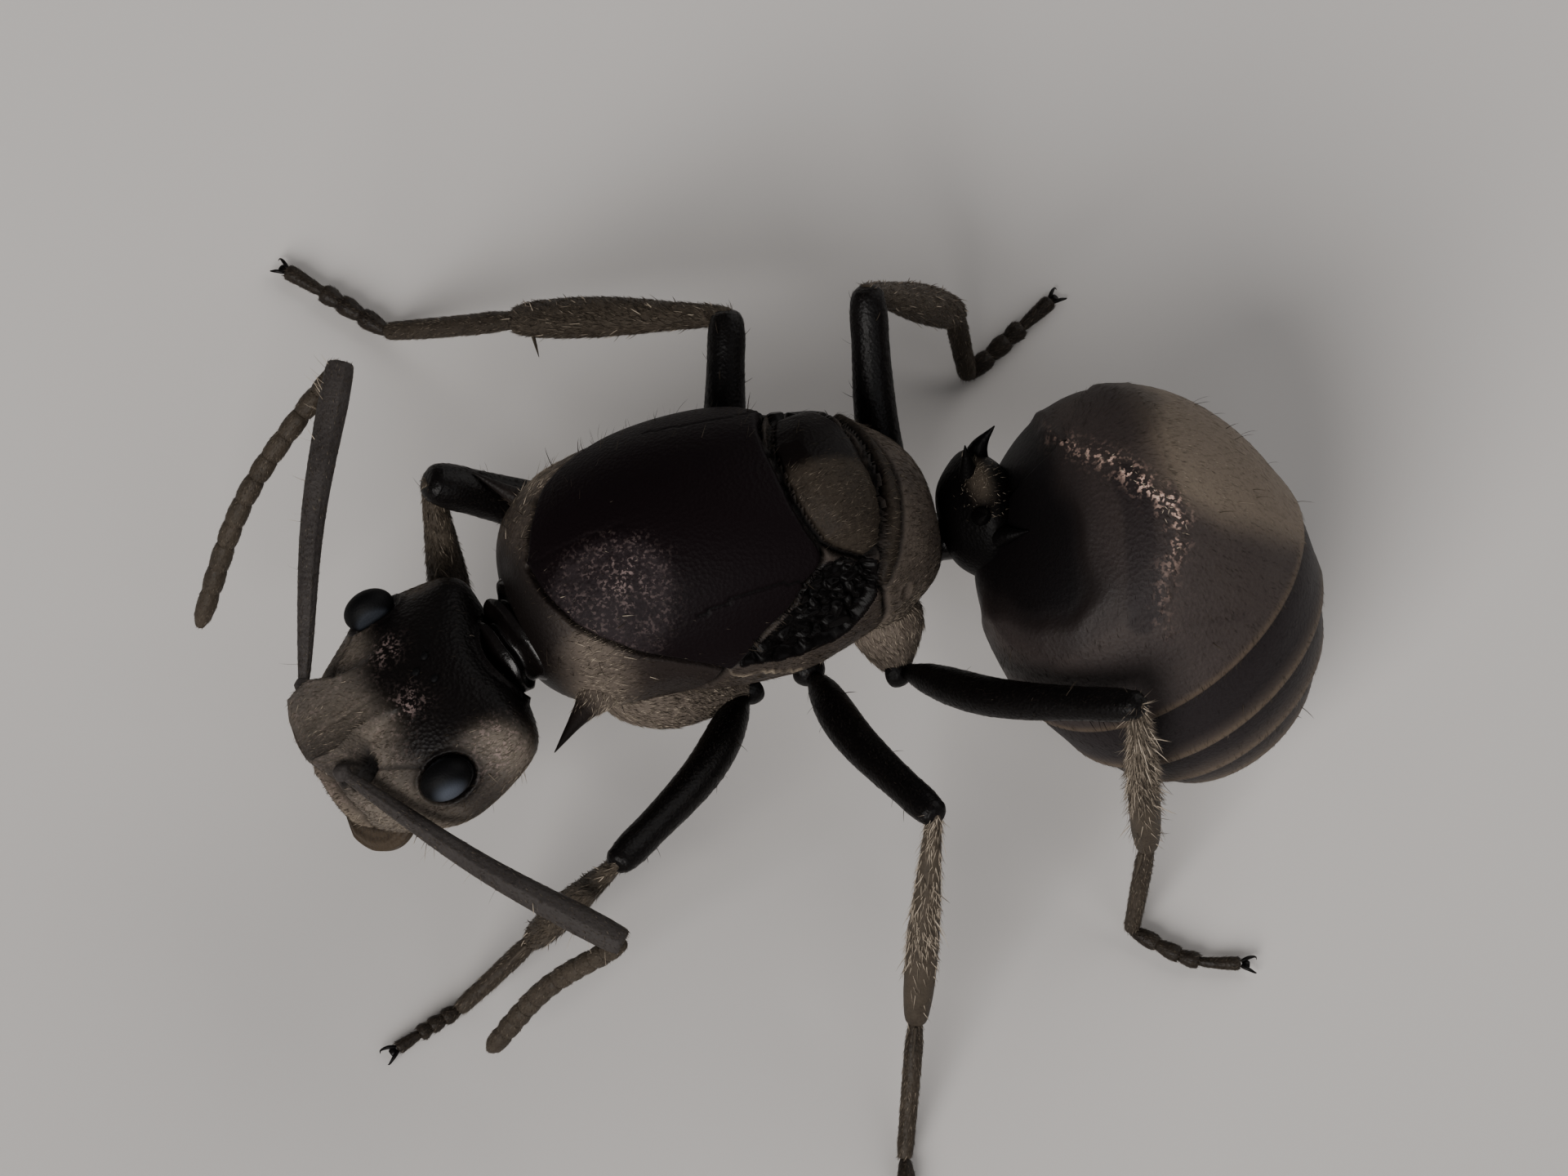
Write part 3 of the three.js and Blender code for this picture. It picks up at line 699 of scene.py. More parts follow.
fold = away - FOLD_AWAY - FOLD_SLOPE * (hx - FOLD_X)
fold_ends = smooth(hx, FOLD_X - 0.08, FOLD_X) * smooth(-hx, 0.02, 0.14) * smooth(hz, 0.1, 0.2)
creased = hump(fold, 0, 0.03) * fold_ends
below_fold = smooth(fold, 0.0, 0.06) * fold_ends * smooth(0.4 - fold, 0.0, 0.3)
rise -= 0.018 * creased
head.points[..., 2] += rise
head.shape()

wave = 0.5 + 0.5 * np.sin(5 * hx + 3.1 * hy + 1.0) * np.sin(4.3 * hy - 2.7 * hz)
face = smooth(-hx + 0.12 * wave, -0.02, 0.5)
cheek = smooth(away, 0.62, 0.9) * smooth(-hx, -0.75, -0.1)
corner = hump(hx, 0.5, 0.22) * smooth(away, 0.6, 0.95)
throat = 0.3 * smooth(-hz, 0, 0.3)
head.marks["down"] = np.clip(0.05 + 0.85 * face + 0.6 * cheek + 0.7 * corner + throat, 0, 0.95)
head.marks["down"] *= (1 - 0.6 * hump(orbit, 1.1, 0.35) * (1 - corner)) * (0.75 + 0.25 * wave)
# painted shade: the pit behind each frontal lobe and the wall beside each ridge are darkened, mostly on the
# near side, where the lobe's crest shades them
wall = hump(away - ridge, 0.06, 0.08) * smooth(-hx, 0.42, 0.55) * smooth(hx, -1.04, -0.94)
pit_shade = np.maximum(smooth(1.3 - pit, 0.0, 0.5), wall) * (hz > 0.2) * (1 - on_lobes) * (0.2 + 0.8 * near)
# dark: the eye rings, the clypeal seam and the neck hole are black; the pits, the fold from socket to eye
# and the strip below it get painted shade, and the frontal lobes are toned down as painted shade
head.marks["dark"] = np.maximum.reduce([
    pit_shade, hump(orbit, 1.03, 0.14), 0.42 * on_lobes,
    0.75 * creased, 0.35 * below_fold, 0.7 * hump(clypeus_in, 0.0, 0.03), smooth(1.0 - hole, 0.0, 0.2)])
head.marks["gloss"] = 0.6 * smooth(1.0 - hole, 0.0, 0.2)
pale_clypeus = 0.85 * smooth(clypeus_in, 0.03, 0.15) * smooth(away, 0.1, 0.4) * hump(hz, -0.15, 0.3)
# pale: the clypeus's cream and the face's streaks are their own colour; on the near rear corner it is a
# painted highlight
head.marks["pale"] = np.clip(pale_clypeus + 0.2 * corner * near * wave + 0.18 * face * wave, 0, 1)
# glint: painted highlight flecks on the crown, the near rear corner and the face
crown_glint = 0.5 * hump(hx, 0.02, 0.14) * hump(away, 0.3, 0.14)
corner_glint = 0.6 * near * corner * hump(hz, 0.3, 0.25)
head.marks["glint"] = np.clip(crown_glint + corner_glint + 0.2 * face * (hz > 0.2), 0, 0.9)
clypeus_mask = ((clypeus_in > 0) & (hz > -0.5))[cell]
head_plain = head.points.copy()
head.points = on_head(head.points)
head.shape()

head_shell = cuticle("head_cuticle", linear("090606"), linear("524c47"), 0.036, 0.42, 0.008)
capsule = head.piece("head_shell", head_shell, keep=~clypeus_mask, rim=0.05)
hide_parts("head_capsule")
clypeus = head.piece("clypeal_plate", downy_shell, keep=clypeus_mask, rim=0.05)
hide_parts("clypeus")


def dome(rows, columns, half):
    """An oval of these half sizes, as a grid around Z."""
    phi = np.linspace(0, math.pi, rows + 1)
    theta = np.linspace(0, 2 * math.pi, columns, endpoint=False)
    ring = np.sin(phi)
    ring[[0, -1]] = 0
    return np.stack([
        ring[:, None] * np.cos(theta) * half[0],
        ring[:, None] * np.sin(theta) * half[1],
        np.repeat(np.cos(phi)[:, None], columns, axis=1) * half[2],
    ], axis=-1)


# ---------------------------------------------------------------- eyes and ocelli
# A compound eye is a smooth glossy dome of hundreds of tiny facets, set in a low ring. The three
# ocelli are single clear lenses like beads of black glass.

glass = Shader("eye_facets", Specular_IOR_Level=0.1)
place = glass.place()
facets = glass.cells(place, 0.02)
cloud = glass.noise(place, 0.3, 2.0)
# painted reflection: the blue-grey middle of each eye stands for the lamps' soft reflection and fades to
# black at the rim
reflection_blue_grey = glass.mix(cloud, linear("363a42"), linear("4a4f58"))
glass.set(
    Base_Color=glass.mix(glass.marked("dark"), reflection_blue_grey, linear("050506")),
    Roughness=0.55 + 0.12 * cloud,
    Normal=glass.bump(1 - facets, 0.002),
)
EYE_FILLS_RING = 0.93
# painted shade: the far (right) eye is kept mostly dark, as it faces away from the key lamp
EYE_SHADE = {"left": 0.0, "right": 0.7}
for side, sign in EYES.items():
    oval = EYE_FILLS_RING * dome(70, 90, EYE_HALF[[0, 2, 1]])[..., [0, 2, 1]] * [1, sign, 1]
    eye = Skin(on_head(oval + EYE_AT * [1, sign, 1]))
    from_middle = np.hypot(oval[..., 0], oval[..., 2])
    eye.marks["dark"] = np.maximum(smooth(from_middle, 0.06, 0.19), EYE_SHADE[side])
    eye = eye.piece(f"compound_eye_{side}", glass.material)
    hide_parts(f"eye_{side}")

crown = KDTree(head_plain.shape[0] * head_plain.shape[1])
for k, p in enumerate(head_plain.reshape(-1, 3)):
    crown.insert(p, k)
crown.balance()
OCELLI = {"front": (0.24, 0.0), "left": (0.38, -0.13), "right": (0.38, 0.13)}
for name, (x, y) in OCELLI.items():
    at, number, _ = crown.find((x, y, 0.7))
    bead = dome(14, 20, np.array([0.04, 0.036, 0.026]))
    bead = Skin(on_head(bead + np.array(at)))
    bead.marks["dark"] = np.ones(bead.points.shape[:2])
    bead = bead.piece(f"ocellus_{name}", glass.material)

# ---------------------------------------------------------------- jaws and mouth parts
# The jaws are curved toothed blades hinged at the front corners of the head, finely grooved and
# thinly haired. Under them are the upper lip and the jointed feelers of the mouth.


def tube(line, widths, heights=None, columns=24, blunt=0.35, up=(0, 0, 1), rows=None):
    """A limb along a line: its half widths and half heights, from 0 to 1 along it, and blunt ends."""
    rows = rows or max(12, len(line))
    phi = np.linspace(0, math.pi, rows + 1)
    t = (1 - np.cos(phi)) / 2
    fine = curve(line, 400)
    at = np.linspace(0, 1, 400)
    centre = np.stack([np.interp(t, at, fine[:, k]) for k in range(3)], axis=1)
    tangent = unit(np.gradient(fine, axis=0))
    tangent = unit(np.stack([np.interp(t, at, tangent[:, k]) for k in range(3)], axis=1))
    side = unit(np.cross(tangent, np.array(up, float)))
    top = np.cross(side, tangent)
    ring = np.sin(phi) ** blunt
    ring[0] = ring[-1] = 0
    theta = np.linspace(0, 2 * math.pi, columns, endpoint=False)
    width = np.interp(t, np.linspace(0, 1, len(widths)), widths) * ring
    if heights is None:
        heights = widths
    height = np.interp(t, np.linspace(0, 1, len(heights)), heights) * ring
    return (centre[:, None] + side[:, None] * (width[:, None] * np.cos(theta))[..., None]
            + top[:, None] * (height[:, None] * np.sin(theta))[..., None])


def joined(name, grids, material, down=0.0, gloss=0.0, pale=0.0):
    """Several closed grids as one mesh object."""
    points, quads = [], []
    count = 0
    for grid in grids:
        skin = grid if isinstance(grid, Skin) else Skin(grid)
        cells_of = skin.cells().reshape(-1, 4)
        used, cells_of = np.unique(cells_of, return_inverse=True)
        quads.append(cells_of.reshape(-1, 4) + count)
        points.append(skin.points.reshape(-1, 3)[used])
        count += len(used)
    points = np.vstack(points)
    values = {"down": down, "gloss": gloss, "pale": pale}
    marks = {key: np.full(len(points), value) for key, value in values.items()}
    return solid_mesh(name, points, np.vstack(quads), material, marks)


limb_shell = cuticle("limb_shell", linear("120e0d"), linear("4c443a"), 0.03, 0.4)
jaw_shell = cuticle("jaw_shell", linear("1a1411"), linear("55493a"), 0.04, 0.34, 0.012)
for side, sign in EYES.items():
    blade = Skin(tube(
        [(-0.72, 0.6 * sign, -0.22), (-0.88, 0.65 * sign, -0.3), (-1.05, 0.58 * sign, -0.38),
         (-1.22, 0.38 * sign, -0.45), (-1.36, 0.08 * sign, -0.5)],
        [0.12, 0.15, 0.16, 0.14, 0.04], [0.13, 0.11, 0.09, 0.06, 0.02], columns=60, rows=70,
    ))
    around = np.linspace(0, 2 * math.pi, 60, endpoint=False)
    blade.push(np.broadcast_to(0.006 * np.sin(9 * around), blade.points.shape[:2]).copy())
    TEETH = [(-1.08, 0.42, -0.43), (-1.16, 0.34, -0.46), (-1.23, 0.25, -0.48), (-1.29, 0.17, -0.5)]
    teeth = [
        tube([(x, y * sign, z), (x + 0.03, (y - 0.12) * sign, z - 0.06)], [0.045, 0.035, 0.01], columns=10)
        for x, y, z in TEETH
    ]
    jaw = joined(f"jaw_{side}", [on_head(blade.points), *map(on_head, teeth)], jaw_shell, 0.5, 0.2)
    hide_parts(f"mandible_{side}")
    palp = curve([
        (-0.7, 0.2 * sign, -0.5), (-0.88, 0.25 * sign, -0.64),
        (-0.8, 0.3 * sign, -0.74), (-0.56, 0.26 * sign, -0.76),
    ], 6)
    lengths = [
        on_head(tube([a, b], [0.03, 0.035, 0.03], columns=12, rows=12)) for a, b in zip(palp, palp[1:])
    ]
    joined(f"palp_{side}", lengths, limb_shell, 0.4)
lip = tube(
    [(-0.93, 0, -0.4), (-0.88, 0, -0.54), (-0.66, 0, -0.6)], [0.2, 0.24, 0.16], [0.06, 0.07, 0.08],
    up=(1, 0, 0), columns=28,
)
joined("lip", [on_head(lip)], limb_shell, 0.3, 0.3)

# ---------------------------------------------------------------- feelers
# Each feeler has a long stiff scape, jointed to the head by a small ball, and a lash of eleven
# short joints that hangs from its end. Fine close hairs dull the lash. Its tip is browner on the ant,
# but is coloured like the rest of the lash here.

END_ZONE = 0.13


def points_of(node):
    """A node's vertices, in millimetres."""
    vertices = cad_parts[node].data.vertices
    return np.unique(np.array([v.co for v in vertices]).round(7), axis=0) / MM


def far_end(node, start, past=0.06):
    """Where a limb's node ends, seen from where it starts."""
    points = points_of(node)
    end = points.mean(0)
    for _ in range(3):
        axis = unit(end - start)
        reach = (points - start) @ axis
        end = points[reach > reach.max() - END_ZONE].mean(0)
    return end + past * axis


def middle_of(node, start, end):
    """The middle of a limb's node, halfway between two of its ends."""
    points = points_of(node)
    axis = unit(end - start)
    reach = (points - start) @ axis / np.linalg.norm(end - start)
    return points[np.abs(reach - 0.5) < 0.14].mean(0)


FEELER_JOINTS = 11
scape_shell = cuticle("scape_shell", linear("191515"), linear("3f3b39"), 0.04, 0.36, 0.01)
OUTER = {"left": np.array([-0.3, -0.95, 0]), "right": np.array([-0.96, 0.28, 0])}
feelers = {}
for side, sign in EYES.items():
    socket = on_head([-0.79, 0.45 * sign + 0.05, 0.67])
    elbow = far_end(f"scape_{side}", socket)
    tip = far_end(f"flagellum_{side}", elbow)
    bow = middle_of(f"scape_{side}", socket, elbow)
    leaving = unit(bow - socket)
    ball = tube([socket - 0.05 * leaving, socket + 0.1 * leaving], [0.06, 0.085, 0.06], columns=20, rows=16)
    shaft = Skin(tube(
        curve([socket + 0.06 * leaving, bow, elbow], 40),
        [0.06, 0.078, 0.09, 0.102, 0.114, 0.126, 0.142, 0.146],
        [0.055, 0.072, 0.086, 0.096, 0.106, 0.116, 0.13, 0.135],
        columns=48, rows=100, blunt=0.12,
    ))
    around = np.linspace(0, 2 * math.pi, 48, endpoint=False)
    along = np.linspace(0, 1, 101)[:, None]
    keel = hump(np.sin((around - 1.2) / 2), 0, 0.1)[None] * smooth(along, 0.05, 0.2)
    keel = keel * smooth(1 - along, 0.02, 0.1)
    shaft.push(0.014 * keel)
    scape = joined(f"scape_shaft_{side}", [ball, shaft], scape_shell, 0.6, 0.1)
    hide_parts(f"scape_{side}")
    hang = middle_of(f"flagellum_{side}", elbow, tip)
    lash = curve([elbow, hang, tip], 400)
    cuts = np.cumsum([0.0, 1.5] + [1.0] * (FEELER_JOINTS - 2) + [1.7])
    cuts = (cuts / cuts[-1] * 399).astype(int)
    beads = []
    for k, (a, b) in enumerate(zip(cuts, cuts[1:])):
        wide = [0.088, 0.093, 0.096, 0.096, 0.092]
        if k == 0:
            wide = [0.06, 0.07, 0.082, 0.09, 0.09]
        if k == FEELER_JOINTS - 1:
            wide = [0.082, 0.092, 0.09, 0.08, 0.045]
        beads.append(Skin(tube(lash[max(a - 3, 0):b + 1][::3], wide, columns=28, rows=24, blunt=0.14)))
    whip = joined(f"lash_{side}", beads, limb_shell, 0.55)
    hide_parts(f"flagellum_{side}")
    feelers[side] = {"shaft": shaft, "beads": beads, "outer": smooth(shaft.normals @ OUTER[side], 0.5, 0.8)}

# ---------------------------------------------------------------- neck and waist
# The neck is a glossy black collar of folded rings. The waist is one upright scale with four sharp
# teeth, on a short stalk from the propodeum to the rear body. Two spines guard the pronotum.

neck_start = on_head([0.5, 0.0, -0.08])
neck_end = THORAX + [-1.5, -0.12, 2.64]
polished = Shader("polished_shell", Specular_IOR_Level=0.22)
place = polished.place()
cloud = polished.noise(place, 0.2, 3.0)
polished.set(
    Base_Color=polished.mix(cloud, linear("040303"), linear("0f0b0a")),
    Roughness=0.14 + 0.22 * cloud,
    Normal=polished.bump(polished.noise(place, 0.05, 3.0), 0.005),
)
collar = Skin(tube(
    [neck_start, (neck_start + neck_end) / 2, neck_end],
    [0.3, 0.34, 0.42, 0.5, 0.56], [0.26, 0.3, 0.36, 0.42, 0.46],
    columns=90, rows=160, blunt=0.2,
))
along = np.linspace(0, math.pi, 161)[:, None]
along = (1 - np.cos(along)) / 2
around = np.linspace(0, 2 * math.pi, 90, endpoint=False)[None]
fold = (along ** 1.3 * 4.2 + 0.16 * np.sin(2 * around + 1) + 0.05 * np.sin(5 * around)) % 1
rolls = 0.1 * smooth(fold, 0.0, 0.7) * smooth(1 - fold, 0.0, 0.16) * (0.8 + 0.2 * np.sin(3 * around))
collar.push(rolls - 0.03)
collar = joined("neck_collar", [collar], polished.material)
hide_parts("neck")
for sign, name in ((-1, "left"), (1, "right")):
    throat_line = [THORAX + [-1.3, 0.5 * sign, 2.3], THORAX + [-1.62, 0.42 * sign, 2.32],
                   THORAX + [-1.86, 0.3 * sign, 2.36]]
    pad = tube(curve(throat_line, 12), [0.26, 0.27, 0.22, 0.16], columns=36, rows=40)
    joined(f"throat_plate_{name}", [pad], downy_shell, 0.75)

petiole_low, _ = box_of("petiole")
PETIOLE = np.array([petiole_low[0] + 0.32, THORAX[1] - 0.16, 2.2])
scale = Skin(blob(
    -0.36, 0.34, 80, 110, 0.6,
    lambda t: (
        0.6 * (0.8 + 0.2 * hump(t, 0.5, 0.3)),
        0.68 * (0.75 + 0.25 * hump(t, 0.6, 0.3)),
        0.5,
        0.0,
    ),
    lambda t: (0.5, 0.5),
))
scale_x, scale_y, scale_z = (scale.points[..., k] for k in range(3))
scale.marks["down"] = hump(scale_x, 0.0, 0.14) * smooth(scale_z, 0.4, 0.6) * hump(scale_y, 0.1, 0.3)
# painted shade: outside its fuzz the scale is painted nearly black, darker than the other black plates, as
# it lies in shade
scale.marks["dark"] = 1 - scale.marks["down"]
scale.points = scale.points + PETIOLE
scale.shape()
waist_shell = cuticle("waist_shell", NEARLY_BLACK, DOWN_OLIVE, 0.034, 0.45, level=0.05)
scale_piece = scale.piece("waist_scale", waist_shell)
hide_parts("petiole")
INNER_TOOTH = [(-0.06, 0.16, 0.4), (-0.07, 0.25, 0.66), (-0.07, 0.34, 0.88)]
OUTER_TOOTH = [(0.02, 0.32, 0.3), (0.1, 0.44, 0.52), (0.26, 0.52, 0.7)]
spikes = [
    tube(curve(np.array(line) * [1, sign, 1] + PETIOLE, 12), wide, columns=22, rows=36)
    for sign in (-1, 1)
    for line, wide in (
        (INNER_TOOTH, [0.13, 0.1, 0.065, 0.035, 0.01]),
        (OUTER_TOOTH, [0.15, 0.12, 0.08, 0.04, 0.01]),
    )
]
joined("waist_teeth", spikes, waist_shell, 0.02)
stalk = tube([PETIOLE + [0.1, 0, -0.3], PETIOLE + [0.45, -0.05, -0.32], PETIOLE + [0.75, -0.12, -0.3]],
             [0.2, 0.17, 0.22], columns=30, rows=30)
front_stalk = tube([PETIOLE + [-0.75, 0.05, -0.35], PETIOLE + [-0.4, 0.02, -0.36], PETIOLE + [0, 0, -0.3]],
                   [0.22, 0.18, 0.24], columns=30, rows=30)
joined("waist_stalks", [stalk, front_stalk], polished.material)

SPINES = {
    "left": ((-1.4, -0.98, 2.6), (-1.96, -1.49, 2.78)),
    "right": ((-1.4, 0.74, 2.6), (-1.96, 1.25, 2.78)),
}
spines = []
for name, (base, tip) in SPINES.items():
    base, tip = THORAX + base, THORAX + tip
    lean = (tip - base) * [0, 0.06, -0.25]
    line = [base - 0.25 * (tip - base), base + 0.12 * (tip - base) - lean * 0.4,
            (base + tip) / 2 - 0.5 * lean, tip]
    spine = Skin(tube(curve(line, 20), [0.24, 0.21, 0.15, 0.095, 0.06, 0.035, 0.008], columns=32, rows=60))
    to_tip = np.linspace(0, 1, 61)[:, None] + 0 * spine.points[..., 0]
    spine.marks["down"] = 0.9 * smooth(0.6 - to_tip, 0.0, 0.25)
    spine.marks["gloss"] = 0.3 * smooth(to_tip, 0.5, 0.7)
    spine.marks["dark"] = 0.7 * smooth(to_tip, 0.45, 0.7)
    spine.piece(f"pronotal_spine_{name}", downy_shell)
    spines.append(spine)

# ---------------------------------------------------------------- gaster
# The rear body is five rings. Each has a domed back plate whose hind rim overlaps the next, and a
# smaller belly plate. Silky olive-brown down covers them, and the foot of each plate is bare.

GASTER_TURN = turned(-66, 51, 0)
GASTER_HALF = np.array([2.0, 1.48, 1.48])
gaster_low, gaster_high = box_of(*[f"gaster_segment_{k}" for k in range(1, 6)])
GASTER = (gaster_low + gaster_high) / 2 + [0.002, -0.022, 0.036]
FRONT_FACE = unit(np.array([-0.62, 0.14, 0.77]))
RIM_NORMAL = unit(np.array([0.42, -0.49, -0.76]))
RIMS = [0.15, 0.8, 1.25, 1.6]

pole = GASTER_HALF * (GASTER_TURN.T @ RIM_NORMAL)
reach_of_pole = np.linalg.norm(pole)
pole /= reach_of_pole
belly = unit(np.array([0.0, 0.0, -1.0]) - pole * -pole[2])
flank = np.cross(pole, belly)


def gaster_skin(start, stop, rows, columns, lift):
    """The rear body from one distance behind its middle to another, raised by lift(rows, angles)."""
    psi_start = math.acos(np.clip(start / reach_of_pole, -1, 1))
    psi_stop = math.acos(np.clip(stop / reach_of_pole, -1, 1))
    psi = np.linspace(psi_start, psi_stop, rows + 1)[:, None]
    theta = np.linspace(0, 2 * math.pi, columns, endpoint=False)[None]
    ball = (np.cos(psi)[..., None] * pole + (np.sin(psi) * np.cos(theta))[..., None] * belly
            + (np.sin(psi) * np.sin(theta))[..., None] * flank)
    taper = 1 - 0.1 * np.maximum(0, ball[..., :1]) ** 2
    points = ball * GASTER_HALF * np.concatenate([np.ones_like(taper), taper, taper], -1)
    points = points @ GASTER_TURN.T
    excess = np.maximum(0, points @ FRONT_FACE - 1.15)
    soft = excess ** 2 / (excess + 0.12)
    points = points - soft[..., None] * 0.6 * FRONT_FACE
    skin = Skin(points + GASTER, closed_ends=False)
    skin.theta, skin.psi = theta, psi
    skin.push(lift(np.linspace(0, 1, rows + 1)[:, None], np.broadcast_to(theta, points.shape[:2])))
    return skin


gaster_shell = Shader("gaster_shell", Specular_IOR_Level=0.2)
place = gaster_shell.place()
band_and_shade = gaster_shell.marked("band_and_shade")
shine = gaster_shell.marked("gloss")
rim_glow = gaster_shell.marked("rim")
silk = gaster_shell.noise(place, 0.03, 5.0, 0.75)
cloud = gaster_shell.noise(place, 0.8, 3.0)
grey = gaster_shell.mix(cloud.between(0.3, 0.7), linear("2c2425"), linear("352d2c"))
# golden down, lightened as painted sheen on the side the back lamp lights
shade = gaster_shell.mix(gaster_shell.marked("gold"), grey, linear("61564a"))
shade = gaster_shell.mix((silk - 0.5) * 0.3 + 0.15, shade, linear("70665a"))
# dark purple: each plate's bare foot band, and painted shade on the front plate
shade = gaster_shell.mix(band_and_shade * 0.95, shade, linear("171113"))
shade = gaster_shell.mix(shine * 0.98, shade, linear("060405"))
shade = gaster_shell.mix(rim_glow, shade, linear("6a5a46"))
# painted highlight: rosy flecks along the glint line
bright = gaster_shell.marked("glint") * gaster_shell.flecks(place, 0.042)
shade = gaster_shell.mix(bright, shade, linear("cfae9f"))
relief = silk * (1 - 0.6 * shine) + 0.7 * gaster_shell.cells(place, 0.04) * (1 - 0.7 * shine)
gaster_shell.set(
    Base_Color=shade,
    Roughness=0.46 + 0.14 * silk - 0.1 * shine,
    Normal=gaster_shell.bump(relief, 0.007),
)

GASTER_FRONT = -reach_of_pole * 0.9999
edges = [GASTER_FRONT, *RIMS, reach_of_pole * 0.9999]
BELLY_HALF_ANGLE = math.radians(62)
OVERLAP = 0.12
GRIDS = {1: (190, 260), 2: (70, 260), 3: (56, 260), 4: (50, 180), 5: (50, 180)}
BANDS = {2: 0.54, 3: 0.3, 4: 0.22, 5: 0.12}
DARK_STRIPE = [
    (-0.14, 0.42, 1.55), (-0.12, 0.2, 1.57), (-0.15, 0.0, 1.56), (-0.23, -0.36, 1.48), (-0.34, -0.75, 1.25),
]
GLINTS = [(-0.62, 1.29, 0.98), (-0.36, 0.81, 1.38), (-0.13, 0.52, 1.55), (0.0, 0.27, 1.63),
          (0.13, 0.03, 1.64), (0.13, -0.24, 1.62), (-0.04, -0.47, 1.47), (-0.17, -0.74, 1.33),
          (-0.19, -0.93, 1.14)]
CREASE = [(0.05, -0.9, 1.2), (0.3, -0.91, 1.12), (0.57, -0.9, 1.0)]
SPARKLE_Y = [-0.93, -0.5, -0.24, 0.03, 0.27, 0.52, 0.81, 1.29]
SPARKLE = [0.05, 0.15, 0.45, 0.9, 1.0, 0.65, 0.4, 0.1]
gaster_plates = []
for k, (start, stop) in enumerate(zip(edges, edges[1:]), start=1):
    last = k == 5
    tucked = 0 if k == 1 else OVERLAP
    rows, columns = GRIDS[k]

    def lift(t, theta, length=stop - start + tucked, tucked=tucked, flare=0.0 if last else 0.028):
        from_foot = t * length - tucked
        raised = flare * hump((1 - t) * length, 0, 0.14)
        if tucked:
            raised = raised - 0.03 * hump(from_foot, -0.12, 0.2)
        return np.broadcast_to(raised, theta.shape).copy()

    skin = gaster_skin(start - tucked, stop, rows, columns, lift)
    distance = (skin.points - GASTER) @ RIM_NORMAL
    from_foot = distance - start
    to_rim = stop - distance
    if k == 1:
        skin.points = skin.points - GASTER
        stripe = seam_distance(skin, DARK_STRIPE, None, closed=False)
        glints = seam_distance(skin, GLINTS, None, closed=False)
        crease = seam_distance(skin, CREASE, None, closed=False)
        gx, gy, gz = (skin.points[..., j] for j in range(3))
        skin.points = skin.points + GASTER
        # the bare front face; painted shade in a darker stripe, a patch, the inner zone and the underside;
        # the golden part, partly painted sheen; and painted highlight flecks along the glint line
        uneven = 0.02 * np.sin(9 * gy + 4 * gz) + 0.015 * np.sin(17 * gz - 6 * gy)
        low_edge = np.interp(gx, [-1.5, -1.37, -1.17, -0.88, -0.68], [0.1, -0.13, -0.46, -0.57, -0.51])
        bare = -0.09 * np.log(np.exp((gx + 0.6) / 0.09) + np.exp((low_edge - gy - 0.03) * 7)) + uneven
        patch = np.hypot((gx + 0.05 + 2 * uneven) / 0.4, (gy - 1.1) / 0.43) + 9 * (gz < 0.5)
        across = np.interp(gy, [-0.93, -0.74, -0.47, -0.24, 0.03, 0.27, 0.52, 0.81, 1.29],
                           [-0.19, -0.17, -0.04, 0.13, 0.13, 0.0, -0.13, -0.36, -0.62])
        inner = smooth(across - gx, -0.02, 0.08) * smooth(gy, -0.95, -0.7) * (gz > 0.4)
        fold_y = np.interp(gx, [0.2, 0.25, 0.54, 0.87, 1.2], [0.3, 0.06, -0.14, -0.21, -0.26])
        golden = np.minimum(gx - 0.2, gy - fold_y)
        skin.marks["gloss"] = smooth(bare, -0.22, 0.2) * smooth(gz, -1.2, -0.6)
        underside = smooth(-gy, 0.35, 1.1) * smooth(-gx, -0.6, 0.5)
        skin.marks["gold"] = smooth(golden, -0.24, 0.16)
        skin.marks["band_and_shade"] = np.clip(np.maximum.reduce([
            0.9 * smooth(0.26 - stripe, 0.0, 0.18), 0.6 * smooth(1.35 - patch, 0, 0.6), 0.66 * inner,
            0.55 * hump(crease, 0, 0.03), 0.42 * (1 - skin.marks["gold"]), 0.75 * underside,
        ]), 0, 1)
        glow = hump(glints, 0, 0.05) + 0.4 * hump(glints, 0.04, 0.09)
        skin.marks["glint"] = glow * np.interp(gy, SPARKLE_Y, SPARKLE)
        skin.push(0.02 * hump(bare, -0.03, 0.06) - 0.012 * smooth(bare, 0.0, 0.1)
                  + 0.012 * hump(glints, 0, 0.05) - 0.008 * hump(crease, 0, 0.03)
                  + 0.006 * hump(golden, 0, 0.03))
    else:
        skin.marks["band_and_shade"] = 1.05 - 0.75 * smooth(from_foot, BANDS[k] - 0.12, BANDS[k] + 0.16)
        skin.marks["gloss"] = 0.1 * skin.marks["band_and_shade"]
        skin.marks["gold"] = 0.4 + 0 * distance
    skin.marks["rim"] = (0.0 if last else 0.3) * hump(to_rim, 0.02, 0.04)
